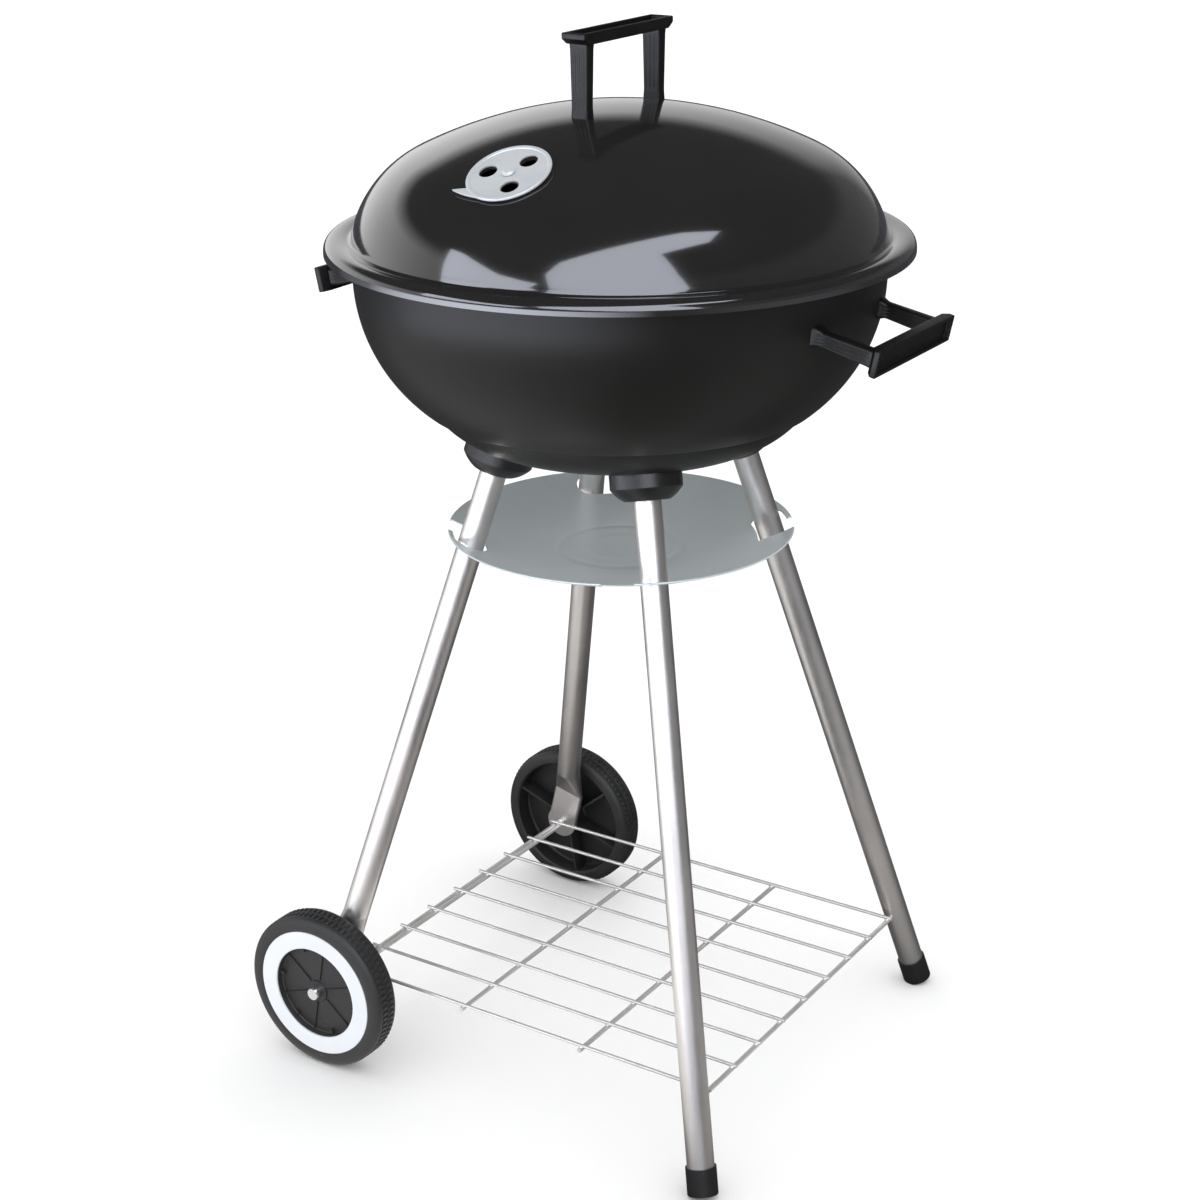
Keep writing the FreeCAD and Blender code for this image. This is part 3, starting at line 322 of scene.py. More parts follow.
def prism(outline, low, high, name):
    """A straight solid: an outline of (x, y) points carried from one height to another."""
    shape = bmesh.new()
    bottom = [shape.verts.new((x, y, low)) for x, y in outline]
    top = [shape.verts.new((x, y, high)) for x, y in outline]
    shape.faces.new(bottom)
    shape.faces.new(top)
    count = len(outline)
    for number in range(count):
        after = (number + 1) % count
        shape.faces.new((bottom[number], bottom[after], top[after], top[number]))
    return mesh_of(shape, name)


# %% [markdown]
# ## Finishes that several materials share
# Real surfaces are never one colour. Three effects come back on nearly every part here: a slow drift of
# colour with fine specks, brushed or drawn grain along a direction, and light dust with small scuffs.
# Each one is a shader node group that gives a colour, a mask or a height; the shader itself stays in each
# material, because an export reads only that. All of them read Object coordinates, which are the true
# metres of the grill.

# %% Shared shader groups
def new_group(name, inputs, outputs):
    group = bpy.data.node_groups.new(name, "ShaderNodeTree")
    for label, kind, value in inputs:
        socket = group.interface.new_socket(label, in_out="INPUT", socket_type=f"NodeSocket{kind}")
        socket.default_value = value
    for label, kind in outputs:
        group.interface.new_socket(label, in_out="OUTPUT", socket_type=f"NodeSocket{kind}")
    return group, group.nodes.new("NodeGroupInput"), group.nodes.new("NodeGroupOutput")


def add_noise(tree, vector, scale, detail=4.0, roughness=0.55):
    noise = tree.nodes.new("ShaderNodeTexNoise")
    noise.inputs["Detail"].default_value = detail
    noise.inputs["Roughness"].default_value = roughness
    tree.links.new(vector, noise.inputs["Vector"])
    if isinstance(scale, (int, float)):
        noise.inputs["Scale"].default_value = scale
    else:
        tree.links.new(scale, noise.inputs["Scale"])
    return noise.outputs["Fac"]


def add_range(tree, value, low, high, new_low, new_high):
    step = tree.nodes.new("ShaderNodeMapRange")
    for socket, number in zip(("From Min", "From Max", "To Min", "To Max"), (low, high, new_low, new_high)):
        if isinstance(number, (int, float)):
            step.inputs[socket].default_value = number
        else:
            tree.links.new(number, step.inputs[socket])
    tree.links.new(value, step.inputs["Value"])
    return step.outputs["Result"]


def add_mix(tree, share, first, second, blend="MIX"):
    mix = tree.nodes.new("ShaderNodeMix")
    mix.data_type = "RGBA"
    mix.blend_type = blend
    for socket, source in ((mix.inputs[0], share), (mix.inputs[6], first), (mix.inputs[7], second)):
        if isinstance(source, (int, float, tuple)):
            socket.default_value = source
        else:
            tree.links.new(source, socket)
    return mix.outputs[2]


def add_math(tree, operation, first, second):
    step = tree.nodes.new("ShaderNodeMath")
    step.operation = operation
    for socket, source in zip(step.inputs, (first, second)):
        if isinstance(source, (int, float)):
            socket.default_value = source
        else:
            tree.links.new(source, socket)
    return step.outputs[0]


def make_tone_group():
    """Base colour that drifts slowly between two tones, with fine specks of the second."""
    group, g_in, g_out = new_group(
        "drifting_tone",
        [("Vector", "Vector", (0, 0, 0)), ("Tone A", "Color", (0.1, 0.1, 0.1, 1)),
         ("Tone B", "Color", (0.2, 0.2, 0.2, 1)), ("Drift Scale", "Float", 9.0),
         ("Speck Scale", "Float", 900.0), ("Speck Amount", "Float", 0.2)],
        [("Color", "Color"), ("Mask", "Float")])
    drift = add_noise(group, g_in.outputs["Vector"], g_in.outputs["Drift Scale"])
    drift = add_range(group, drift, 0.3, 0.7, 0.0, 1.0)
    speck = add_noise(group, g_in.outputs["Vector"], g_in.outputs["Speck Scale"], 2.0)
    speck = add_range(group, speck, 0.6, 0.75, 0.0, g_in.outputs["Speck Amount"])
    mask = add_math(group, "MAXIMUM", drift, speck)
    colour = add_mix(group, mask, g_in.outputs["Tone A"], g_in.outputs["Tone B"])
    group.links.new(colour, g_out.inputs["Color"])
    group.links.new(mask, g_out.inputs["Mask"])
    return group


def make_dust_group():
    """Dust that settles on faces that look up, and short scuffs anywhere, as one mask."""
    group, g_in, g_out = new_group(
        "dust_and_scuffs",
        [("Vector", "Vector", (0, 0, 0)), ("Dust", "Float", 0.2), ("Scuffs", "Float", 0.2),
         ("Scuff Scale", "Float", 60.0)],
        [("Mask", "Float")])
    facing = group.nodes.new("ShaderNodeNewGeometry")
    parts = group.nodes.new("ShaderNodeSeparateXYZ")
    group.links.new(facing.outputs["Normal"], parts.inputs[0])
    up = add_range(group, parts.outputs["Z"], 0.2, 1.0, 0.0, g_in.outputs["Dust"])
    cloud = add_range(group, add_noise(group, g_in.outputs["Vector"], 35.0, 6.0, 0.7), 0.35, 0.7, 0.2, 1.0)
    dust = add_math(group, "MULTIPLY", up, cloud)
    stretch = group.nodes.new("ShaderNodeMapping")
    stretch.inputs["Rotation"].default_value = (0.6, 0.4, 0.9)
    stretch.inputs["Scale"].default_value = (1, 14, 3)
    group.links.new(g_in.outputs["Vector"], stretch.inputs["Vector"])
    scuff = add_noise(group, stretch.outputs["Vector"], g_in.outputs["Scuff Scale"], 3.0, 0.6)
    scuff = add_range(group, scuff, 0.66, 0.74, 0.0, g_in.outputs["Scuffs"])
    group.links.new(add_math(group, "MAXIMUM", dust, scuff), g_out.inputs["Mask"])
    return group


def make_grain_group():
    """Fine parallel grain: noise squeezed along two axes, as a height and as a mask."""
    group, g_in, g_out = new_group(
        "brushed_grain",
        [("Vector", "Vector", (0, 0, 0)), ("Squeeze", "Vector", (1, 1, 0.02)),
         ("Grain Scale", "Float", 1500.0)],
        [("Height", "Float"), ("Mask", "Float")])
    squeeze = group.nodes.new("ShaderNodeVectorMath")
    squeeze.operation = "MULTIPLY"
    group.links.new(g_in.outputs["Vector"], squeeze.inputs[0])
    group.links.new(g_in.outputs["Squeeze"], squeeze.inputs[1])
    fine = add_noise(group, squeeze.outputs[0], g_in.outputs["Grain Scale"], 3.0, 0.6)
    group.links.new(fine, g_out.inputs["Height"])
    group.links.new(add_range(group, fine, 0.35, 0.65, 0.0, 1.0), g_out.inputs["Mask"])
    return group


TONE = make_tone_group()
DUST = make_dust_group()
GRAIN = make_grain_group()
print("shader groups:", TONE.name, DUST.name, GRAIN.name)


# %% [markdown]
# ## One recipe for a material, filled in for each finish
# A material here is a Principled shader with its plain numbers set on its own sockets, and four things
# that change over the surface: colour, roughness, a fine bump and dust. `make_finish` wires these once;
# each call below gives the tones and sizes of one real finish.

# %% The material recipe
def place_group(tree, group, vector, **values):
    node = tree.nodes.new("ShaderNodeGroup")
    node.node_tree = group
    tree.links.new(vector, node.inputs["Vector"])
    for label, value in values.items():
        node.inputs[label.replace("_", " ")].default_value = value
    return node


def make_finish(name, tone_a, tone_b, rough, metal=0.0, drift=9.0, speck=900.0, speck_amount=0.2, dust=0.15,
                scuffs=0.15, dust_tone=(0.42, 0.41, 0.39, 1), bump_scale=1800.0, bump=0.0002, squeeze=None,
                coat=0.0, coat_rough=0.05, specular=0.5, grain_rough=0.0, wave=0.0):
    """A finish. rough is (lowest, highest) roughness; bump is the relief's height in metres."""
    material = bpy.data.materials.new(name)
    material.use_nodes = True
    tree = material.node_tree
    shader = tree.nodes["Principled BSDF"]
    where = tree.nodes.new("ShaderNodeTexCoord").outputs["Object"]
    tone = place_group(tree, TONE, where, Tone_A=tone_a, Tone_B=tone_b, Drift_Scale=drift, Speck_Scale=speck,
                       Speck_Amount=speck_amount)
    dirt = place_group(tree, DUST, where, Dust=dust, Scuffs=scuffs)
    colour = add_mix(tree, dirt.outputs["Mask"], tone.outputs["Color"], dust_tone)
    tree.links.new(colour, shader.inputs["Base Color"])
    roughness = add_range(tree, tone.outputs["Mask"], 0.0, 1.0, rough[0], rough[1])
    grain = place_group(tree, GRAIN, where, Squeeze=squeeze or (1, 1, 1), Grain_Scale=bump_scale)
    if grain_rough:
        grain_part = add_range(tree, grain.outputs["Mask"], 0, 1, 0, grain_rough)
        roughness = add_math(tree, "ADD", roughness, grain_part)
    roughness = add_math(tree, "ADD", roughness, add_range(tree, dirt.outputs["Mask"], 0, 1, 0, 0.35))
    tree.links.new(roughness, shader.inputs["Roughness"])
    height = grain.outputs["Height"]
    if wave:
        slow = add_noise(tree, where, 28.0, 2.0, 0.4)
        height = add_math(tree, "ADD", height, add_math(tree, "MULTIPLY", slow, wave))
    relief = tree.nodes.new("ShaderNodeBump")
    relief.inputs["Strength"].default_value = 1.0
    relief.inputs["Distance"].default_value = bump
    tree.links.new(height, relief.inputs["Height"])
    tree.links.new(relief.outputs["Normal"], shader.inputs["Normal"])
    shader.inputs["Metallic"].default_value = metal
    shader.inputs["Coat Weight"].default_value = coat
    shader.inputs["Coat Roughness"].default_value = coat_rough
    shader.inputs["Specular IOR Level"].default_value = specular
    return material


def grey(value, warm=0.0):
    """A grey, warmer for a positive second number and cooler for a negative one."""
    return (value * (1 + warm), value, value * (1 - warm), 1)


# %% The finishes
LID_ENAMEL = make_finish("lid_enamel", grey(0.013, -0.02), grey(0.018, 0.02), (0.10, 0.14), drift=5.0,
                         speck=1400.0, speck_amount=0.15, dust=0.0, scuffs=0.0, bump_scale=900.0,
                         bump=0.00001, coat=1.0, coat_rough=0.06, wave=3.0)
BOWL_ENAMEL = make_finish("bowl_enamel", grey(0.010, 0.02), grey(0.014, 0.06), (0.28, 0.36), drift=6.0,
                          speck=1300.0, speck_amount=0.2, dust=0.01, scuffs=0.0, bump_scale=900.0,
                          bump=0.00002, specular=0.18, wave=2.0)
HANDLE_PLASTIC = make_finish("handle_plastic", grey(0.004), grey(0.008, 0.10), (0.30, 0.40), drift=30.0,
                             speck=2500.0, speck_amount=0.3, dust=0.01, scuffs=0.01, bump_scale=2600.0,
                             bump=0.00006, specular=0.25)
SOCKET_PLASTIC = make_finish("socket_plastic", grey(0.007), grey(0.011), (0.28, 0.36), drift=25.0,
                             speck=2200.0, speck_amount=0.2, dust=0.01, scuffs=0.02, bump_scale=2400.0,
                             bump=0.00005)
LEG_STEEL = make_finish("leg_steel", grey(0.66, 0.04), grey(0.76, 0.06), (0.30, 0.38), metal=1.0,
                        drift=14.0, speck=1600.0, speck_amount=0.2, dust=0.05, scuffs=0.06,
                        bump_scale=900.0, bump=0.00003, squeeze=(1, 1, 0.04), grain_rough=0.08,
                        dust_tone=grey(0.5, 0.05))
FOOT_PLASTIC = make_finish("foot_plastic", grey(0.006), grey(0.010), (0.42, 0.52), drift=30.0, speck=2400.0,
                           speck_amount=0.3, dust=0.03, scuffs=0.05, bump_scale=2200.0, bump=0.0001)
WHEEL_PLASTIC = make_finish("wheel_plastic", grey(0.014), grey(0.022, 0.02), (0.46, 0.60), drift=24.0,
                            speck=2200.0, speck_amount=0.35, dust=0.05, scuffs=0.06, bump_scale=2000.0,
                            bump=0.00012)
WHEEL_TRIM = make_finish("wheel_trim", (0.78, 0.82, 0.88, 1), (0.84, 0.87, 0.92, 1), (0.28, 0.36),
                         drift=20.0, speck=1800.0, speck_amount=0.2, dust=0.08, scuffs=0.10,
                         bump_scale=1500.0, bump=0.00004, coat=0.3, coat_rough=0.2)
WIRE_PLATING = make_finish("wire_plating", grey(0.66, 0.03), grey(0.78, 0.02), (0.18, 0.26), metal=0.6,
                           drift=40.0, speck=2400.0, speck_amount=0.3, dust=0.05, scuffs=0.05,
                           bump_scale=2600.0, bump=0.00003, dust_tone=grey(0.5, 0.04))
DAMPER_ALUMINIUM = make_finish("damper_aluminium", (0.60, 0.64, 0.67, 1), (0.68, 0.71, 0.74, 1),
                               (0.30, 0.38), metal=0.25, drift=30.0, speck=1800.0, speck_amount=0.25,
                               dust=0.0, scuffs=0.05, bump_scale=1100.0, bump=0.00004,
                               squeeze=(1, 0.08, 1), grain_rough=0.08, dust_tone=grey(0.55))
PAN_ALUMINIUM = make_finish("pan_aluminium", (0.62, 0.69, 0.70, 1), (0.70, 0.76, 0.77, 1), (0.34, 0.42),
                            metal=0.25, drift=8.0, speck=1500.0, speck_amount=0.2, dust=0.06, scuffs=0.08,
                            bump_scale=800.0, bump=0.00004, squeeze=(1, 0.1, 1), grain_rough=0.08,
                            wave=1.5, dust_tone=(0.45, 0.48, 0.52, 1))
FASTENER_STEEL = make_finish("fastener_steel", grey(0.62, 0.02), grey(0.74), (0.22, 0.30), metal=1.0,
                             drift=60.0, speck=2600.0, speck_amount=0.3, dust=0.04, scuffs=0.10,
                             bump_scale=2600.0, bump=0.00003)
GRATE_STEEL = make_finish("grate_steel", grey(0.50, 0.02), grey(0.62, 0.04), (0.28, 0.38), metal=1.0,
                          drift=20.0, speck=1800.0, speck_amount=0.3, dust=0.08, scuffs=0.10,
                          bump_scale=2200.0, bump=0.00005, dust_tone=grey(0.3, 0.08))
print("finishes made:", len(bpy.data.materials))

# %% [markdown]
# ## The lid
# On the real grill the lid is one pressed steel dome, dipped in glossy enamel, with a rolled rim that
# stands over the bowl. It could be a scaled sphere, but the crown and the shoulder have different radii,
# and the rim needs a hollow, a rise and a skirt. So the side outline is written down as two arcs and a
# few rim points, and the lathe turns it. The gloss shows every facet, so the lathe takes many steps. The
# three vent holes are cut afterwards.

# %% The lid's outline
CROWN_CENTRE = (0.0, 438.4)
CROWN_RADIUS = 371.0
SHOULDER_CENTRE = (119.9, 689.2)
SHOULDER_RADIUS = 93.0
JOIN_ANGLE = 64.45
RIM_ANGLE = 13.24
SHEET = 1.0

RIM_OUTSIDE = [(210.9, 709.3), (211.9, 708.5), (213.4, 708.2), (215.2, 708.7), (218.0, 709.6),
               (222.0, 710.1), (226.0, 709.7), (229.0, 708.3), (231.0, 706.0), (231.8, 703.6),
               (232.0, 701.5), (232.0, 699.1)]
RIM_INSIDE = [(231.0, 699.1), (231.0, 701.5), (230.8, 703.4), (230.0, 705.6), (228.3, 707.5),
              (225.7, 708.7), (222.0, 709.1), (218.3, 708.6), (215.6, 707.7), (213.4, 707.5),
              (211.4, 707.6), (210.1, 708.7)]


def shell_arcs(inset):
    return (arc(CROWN_CENTRE, CROWN_RADIUS - inset, 90, JOIN_ANGLE, 36)
            + arc(SHOULDER_CENTRE, SHOULDER_RADIUS - inset, JOIN_ANGLE, RIM_ANGLE, 36)[1:])


def rounded(points, rounds=2):
    """An open row of points with its corners cut again and again, which rounds it."""
    for _ in range(rounds):
        cut = [points[0]]
        for (ax, ay), (bx, by) in zip(points, points[1:]):
            cut.append((0.75 * ax + 0.25 * bx, 0.75 * ay + 0.25 * by))
            cut.append((0.25 * ax + 0.75 * bx, 0.25 * ay + 0.75 * by))
        points = cut + [points[-1]]
    return points


def in_metres(points):
    return [tuple(value * MM for value in point) for point in points]


outside = shell_arcs(0)
inside = shell_arcs(SHEET)
lid_outline = (outside + rounded([outside[-1], *RIM_OUTSIDE])[1:] + rounded([*RIM_INSIDE, inside[-1]])
               + inside[::-1][1:])

# %% The lid's damper frame, shared by the vent holes
DAMPER_CENTRE = Vector((0.0, -149.02, 778.76)) * MM
SLOPE = math.radians(27)
DAMPER_NORMAL = Vector((0, -math.sin(SLOPE), math.cos(SLOPE)))
UP_SLOPE = Vector((0, math.cos(SLOPE), math.sin(SLOPE)))
DAMPER_TURN = math.radians(217)
DAMPER_GAP = 0.5
damper_x = math.cos(DAMPER_TURN) * X_AXIS + math.sin(DAMPER_TURN) * UP_SLOPE
damper_y = DAMPER_NORMAL.cross(damper_x)
VENT_ANGLES = (-34, 86, 206)
VENT_PITCH = 17.7 * MM
VENT_RADIUS = 6.25 * MM


def vent_cutters(centre, axis_x, axis_y, axis_z, name, radius=VENT_RADIUS):
    cutters = []
    for degrees in VENT_ANGLES:
        turn = math.radians(degrees)
        spot = centre + VENT_PITCH * (math.cos(turn) * axis_x + math.sin(turn) * axis_y)
        reach = 0.012 * axis_z
        cutters.append(rod(spot - reach, spot + reach, radius, name))
    return cutters


lid_mesh = turned(in_metres(lid_outline), "lid_shell", LID_ENAMEL, 288)
lid_vents = vent_cutters(DAMPER_CENTRE, damper_x, damper_y, DAMPER_NORMAL, "lid_vent")
lid_mesh = carved(lid_mesh, lid_vents, "lid_shell")
finish_piece(lid_mesh, "lid_shell", "lid", LID_ENAMEL, ["lid"])

# %% [markdown]
# ## The bowl
# The bowl is the same kind of pressing, with a crease low down where the belly steps in to the heel, and
# a lip that carries the lid. It is turned in the same way from two arcs, the step and the lip.

# %% The bowl's outline
HEEL_CENTRE = (93.6, 614.4)
HEEL_RADIUS = 72.0
BELLY_CENTRE = (76.3, 680.5)
BELLY_RADIUS = 134.0
FLOOR_HEIGHT = 542.4

heel_outside = arc(HEEL_CENTRE, HEEL_RADIUS, -90, -34.2, 24)
belly_outside = arc(BELLY_CENTRE, BELLY_RADIUS, -51.2, 0, 40)
step_outside = rounded([heel_outside[-1], (154.1, 575.0), (158.7, 574.9), belly_outside[0]], 3)
lip_outside = rounded([belly_outside[-1], (210.3, 702.4), (211.6, 705.6), (214.6, 706.2), (225.6, 706.2),
                       (227.3, 705.6), (227.3, 703.2)], 2)
lip_inside = rounded([(228.3, 703.2), (228.3, 706.4), (226.8, 707.2), (213.0, 707.2), (209.9, 706.6),
                      (209.3, 703.6), (209.3, 680.5)], 2)
belly_inside = arc(BELLY_CENTRE, BELLY_RADIUS - SHEET, 0, -51.0, 40)
heel_inside = arc(HEEL_CENTRE, HEEL_RADIUS - SHEET, -33.6, -90, 24)
step_inside = rounded([belly_inside[-1], (157.9, 576.0), (153.4, 576.1), heel_inside[0]], 3)
bowl_outline = [(0, FLOOR_HEIGHT), *heel_outside, *step_outside[1:], *belly_outside[1:], *lip_outside[1:]]
bowl_outline += [*lip_inside, *belly_inside[1:], *step_inside[1:], *heel_inside[1:]]
bowl_outline += [(0, FLOOR_HEIGHT + SHEET)]
bowl_mesh = turned(in_metres(bowl_outline), "bowl_shell", BOWL_ENAMEL, 256)
floor_centre = Vector((0, 0, FLOOR_HEIGHT)) * MM
bowl_vents = vent_cutters(floor_centre, X_AXIS, -Y_AXIS, -Z_AXIS, "bowl_vent")
bowl_mesh = carved(bowl_mesh, bowl_vents, "bowl_shell")
finish_piece(bowl_mesh, "bowl_shell", "stand", BOWL_ENAMEL, ["bowl"])

# %% [markdown]
# ## The two dampers
# A damper is a pressed disc with a rolled rim, three draught holes and one claw to push it round by. The
# disc with its rim is a turned outline, so it comes from the lathe tree. The claw is a flat outline: its
# lower edge leaves the disc as a tangent and ends in a point, and its upper edge comes straight back. One
# mesh serves the lid and the floor of the bowl.

# %% The damper's disc and claw
PLATE = 1.2
DISC_RADIUS = 32.5
RIM_WIDTH = 3.4
RIM_RISE = 1.1
HOLE_RADIUS = 7.1
CLAW_REACH = 43.0
CLAW_BACK = 7
CLAW_CURVE = 1.7
CLAW_HOOK = 0.8
CLAW_SINK = 0.3
CLAW_ROOT = 0.8
CLAW_TURN = math.degrees(math.acos(DISC_RADIUS / CLAW_REACH))

rim_middle = DISC_RADIUS - RIM_WIDTH / 2
rim_turns = [math.radians(degrees) for degrees in range(0, 181, 15)]
rim_outline = [(rim_middle + RIM_WIDTH / 2 * math.cos(turn), PLATE + RIM_RISE * math.sin(turn))
               for turn in rim_turns]
disc_outline = [(3.2, 0.1), (3.3, 0.0), (DISC_RADIUS - 0.4, 0.0), (DISC_RADIUS, 0.4), *rim_outline,
                (rim_middle - RIM_WIDTH, PLATE), (3.3, PLATE), (3.2, PLATE - 0.1)]


def claw_outline():
    """The claw, drawn on the disc's plane with its point on +X."""
    lower = []
    for step in range(13):
        share = step / 12
        turn = math.radians(CLAW_TURN * (1 - share))
        reach = DISC_RADIUS + (CLAW_REACH - DISC_RADIUS) * share ** CLAW_CURVE - CLAW_SINK * (1 - share)
        lower.append((reach * math.cos(turn), reach * math.sin(turn)))
    upper = []
    for step in range(1, 7):
        share = step / 6
        turn = math.radians(CLAW_BACK * share)
        reach = CLAW_REACH + (DISC_RADIUS - CLAW_ROOT - CLAW_REACH) * share ** CLAW_HOOK
        upper.append((reach * math.cos(turn), reach * math.sin(turn)))
    return lower + upper + [(DISC_RADIUS - 3, 2.0), (DISC_RADIUS - 9, 16.0)]


def make_damper_mesh():
    disc = turned(in_metres(disc_outline), "damper_disc", DAMPER_ALUMINIUM, 128)
    cutters = vent_cutters(Vector((0, 0, 0)), X_AXIS, Y_AXIS, Z_AXIS, "damper_hole", HOLE_RADIUS * MM)
    disc = bevelled(carved(disc, cutters, "damper_disc"), 0.00025, "damper_disc", 2, 50)
    claw = prism(claw_outline(), 0.05, PLATE + 0.35, "claw")
    claw.transform(Matrix.Scale(MM, 4))
    claw = bevelled(closed_outwards(claw), 0.00035, "claw", 3, 50)
    return joined([disc, claw], "damper")


damper_frame = frame_from(damper_x, damper_y, DAMPER_NORMAL, DAMPER_CENTRE)
floor_frame = (Matrix.Translation((0, 0, (FLOOR_HEIGHT - DAMPER_GAP) * MM)) @ Matrix.Rotation(math.pi, 4, "X")
               @ Matrix.Rotation(DAMPER_TURN, 4, "Z"))
for name, matrix in (("lid_damper", damper_frame), ("floor_damper", floor_frame)):
    damper_mesh = make_damper_mesh()
    damper_mesh.transform(matrix)
    finish_piece(damper_mesh, f"{name}_disc", name, DAMPER_ALUMINIUM, [name], 40)

# %% [markdown]
# ## The three handles
# One moulding serves the lid and both sides: a flat grip with a channel in its face, on two fluted arms
# whose feet flare out to meet the shell. The foot has to follow a curved surface, which a straight
# extrusion can't do. So each arm is lofted from rings of points, and every point slides along the arm
# until it touches the shell: a short search by halving finds how far.

# %% Lofting an arm down to a curved surface
GRIP_LENGTH = 127.0
GRIP_WIDTH = 21.0
GRIP_THICK = 9.0
ARM_SPREAD = 51.5
LID_ARM = 14.5
SIDE_ARM = 11.5
ARM_ALONG = 9.0
ROOT_SHARE = 0.16
SHOULDER_SHARE = 0.08
SHOULDER = 0.3
TAPER_ACROSS = 1.1
TAPER_ALONG = 0.5
FLUTE_DEPTH = 0.6
GRIP_SLANT = 4.2
GRIP_LIP = 2.6
CHANNEL_FLOOR = 4.6


def bowl_radius(height):
    if height >= BELLY_CENTRE[1]:
        return BELLY_CENTRE[0] + BELLY_RADIUS
    drop = BELLY_CENTRE[1] - height
    return BELLY_CENTRE[0] + math.sqrt(max(BELLY_RADIUS ** 2 - drop ** 2, 0.0))


def above_bowl(point):
    return math.hypot(point.x, point.y) - bowl_radius(point.z)


def above_lid(point):
    return (point - Vector((0, 0, CROWN_CENTRE[1]))).length - CROWN_RADIUS


def distance_to(surface, start, direction, reach=120.0):
    low, high = 0.0, reach
    for _ in range(40):
        middle = (low + high) / 2
        if surface(start + middle * direction) > 0:
            low = middle
        else:
            high = middle
    return low


def arm_ring(half_x, half_y, flute):
    """A rounded oblong, broad along Y, with three flutes down each broad face."""
    corner = min(half_x, half_y) * 0.45
    ring = []
    for side in (1, -1):
        for step in range(25):
            y = side * (-1 + 2 * step / 24) * (half_y - corner)
            wave = 0.5 - 0.5 * math.cos(3 * math.tau * step / 24)
            ring.append((side * (half_x - flute * wave), y))
        for step in range(1, 9):
            turn = math.radians(step * 180 / 9)
            if turn <= math.pi / 2:
                centre_x = half_x - corner
            else:
                centre_x = -(half_x - corner)
            ring.append((side * (centre_x + corner * math.cos(turn)),
                         side * (half_y - corner + corner * math.sin(turn))))
    return ring


def loft(rings, name):
    shape = bmesh.new()
    rows = [[shape.verts.new(point) for point in ring] for ring in rings]
    for low_row, high_row in zip(rows, rows[1:]):
        for number in range(len(low_row)):
            after = (number + 1) % len(low_row)
            shape.faces.new((low_row[number], low_row[after], high_row[after], high_row[number]))
    shape.faces.new(rows[0])
    shape.faces.new(rows[-1])
    return mesh_of(shape, name)


def smooth_share(value):
    value = min(max(value, 0.0), 1.0)
    return value * value * (3 - 2 * value)


# %% A whole handle
def make_handle(name, frame_matrix, surface, body, node, across_arm, root):
    """frame_matrix is in millimetres: X across the grip, Y along it, Z away from the shell.

    across_arm is an arm's width where it leaves the shell, and root is how far its foot flares out.
    """
    down = -(frame_matrix.to_3x3() @ Z_AXIS)
    meshes = []
    for side in (-1, 1):
        rings = []
        for step in range(29):
            share = step / 28
            flare = smooth_share((share - 1 + ROOT_SHARE) / ROOT_SHARE)
            shoulder = smooth_share((SHOULDER_SHARE - share) / SHOULDER_SHARE)
            half_x = across_arm / 2 + TAPER_ACROSS * (1 - share) + root * flare + SHOULDER * shoulder
            half_y = ARM_ALONG / 2 + TAPER_ALONG * (1 - share) + root * flare + SHOULDER * shoulder
            flute_start = smooth_share((share - 0.05) / SHOULDER_SHARE)
            flute_end = 1 - smooth_share((share - 0.78) / 0.12)
            flute = FLUTE_DEPTH * flute_end * flute_start
            ring = []
            for along, across in arm_ring(half_y, half_x, flute):
                start = frame_matrix @ Vector((-across, along + side * ARM_SPREAD, 0.4))
                reach = distance_to(surface, start, down) + 0.3
                ring.append((start + share * reach * down) * MM)
            rings.append(ring)
        meshes.append(loft(rings, name + "_arm"))
    half = GRIP_LENGTH / 2
    heel = ARM_SPREAD + ARM_ALONG / 2 + 1.2
    side_outline = [(-heel, 0), (heel, 0), (half, GRIP_SLANT), (half, GRIP_THICK), (-half, GRIP_THICK),
                    (-half, GRIP_SLANT)]
    stand_up = Matrix(((0, 0, 1, 0), (1, 0, 0, 0), (0, 1, 0, 0), (0, 0, 0, 1)))
    grip = prism(side_outline, -GRIP_WIDTH / 2, GRIP_WIDTH / 2, name + "_grip")
    grip.transform(stand_up)
    inner_x = GRIP_WIDTH / 2 - GRIP_LIP
    inner_y = half - GRIP_LIP
    channel_corners = [(-inner_x, -inner_y), (inner_x, -inner_y), (inner_x, inner_y), (-inner_x, inner_y)]
    channel = prism(channel_corners, CHANNEL_FLOOR, 12.0, name + "_channel")
    grip = carved(closed_outwards(grip), [channel], name + "_grip")
    grip.transform(Matrix.Scale(MM, 4))
    grip = bevelled(grip, 0.0011, name + "_grip", 4, 30)
    grip.transform(Matrix.Scale(1 / MM, 4))
    grip.transform(frame_matrix)
    grip.transform(Matrix.Scale(MM, 4))
    mesh = joined([grip, *meshes], name)
    return finish_piece(mesh, name, body, HANDLE_PLASTIC, [node], 30)


LID_GRIP_HEIGHT = 859.8
SIDE_GRIP_REACH = 258
SIDE_GRIP_HEIGHT = 652
lid_frame = frame_from(X_AXIS, Y_AXIS, Z_AXIS, Vector((0, 0, LID_GRIP_HEIGHT)))
make_handle("lid_grip", lid_frame, above_lid, "lid", "lid_handle", LID_ARM, 0.5)
DROOP = math.radians(12)
for side, side_name in ((-1, "left"), (1, "right")):
    outward = Vector((side * math.cos(DROOP), 0, -math.sin(DROOP)))
    across = Vector((side * math.sin(DROOP), 0, math.cos(DROOP)))
    origin = Vector((side * (SIDE_GRIP_REACH - GRIP_THICK * math.cos(DROOP)), 0,
                     SIDE_GRIP_HEIGHT + GRIP_THICK * math.sin(DROOP)))
    side_frame = frame_from(across, outward.cross(across), outward, origin)
    make_handle(f"side_grip_{side_name}", side_frame, above_bowl, "stand", f"side_handle_{side_name}",
                SIDE_ARM, 2.4)

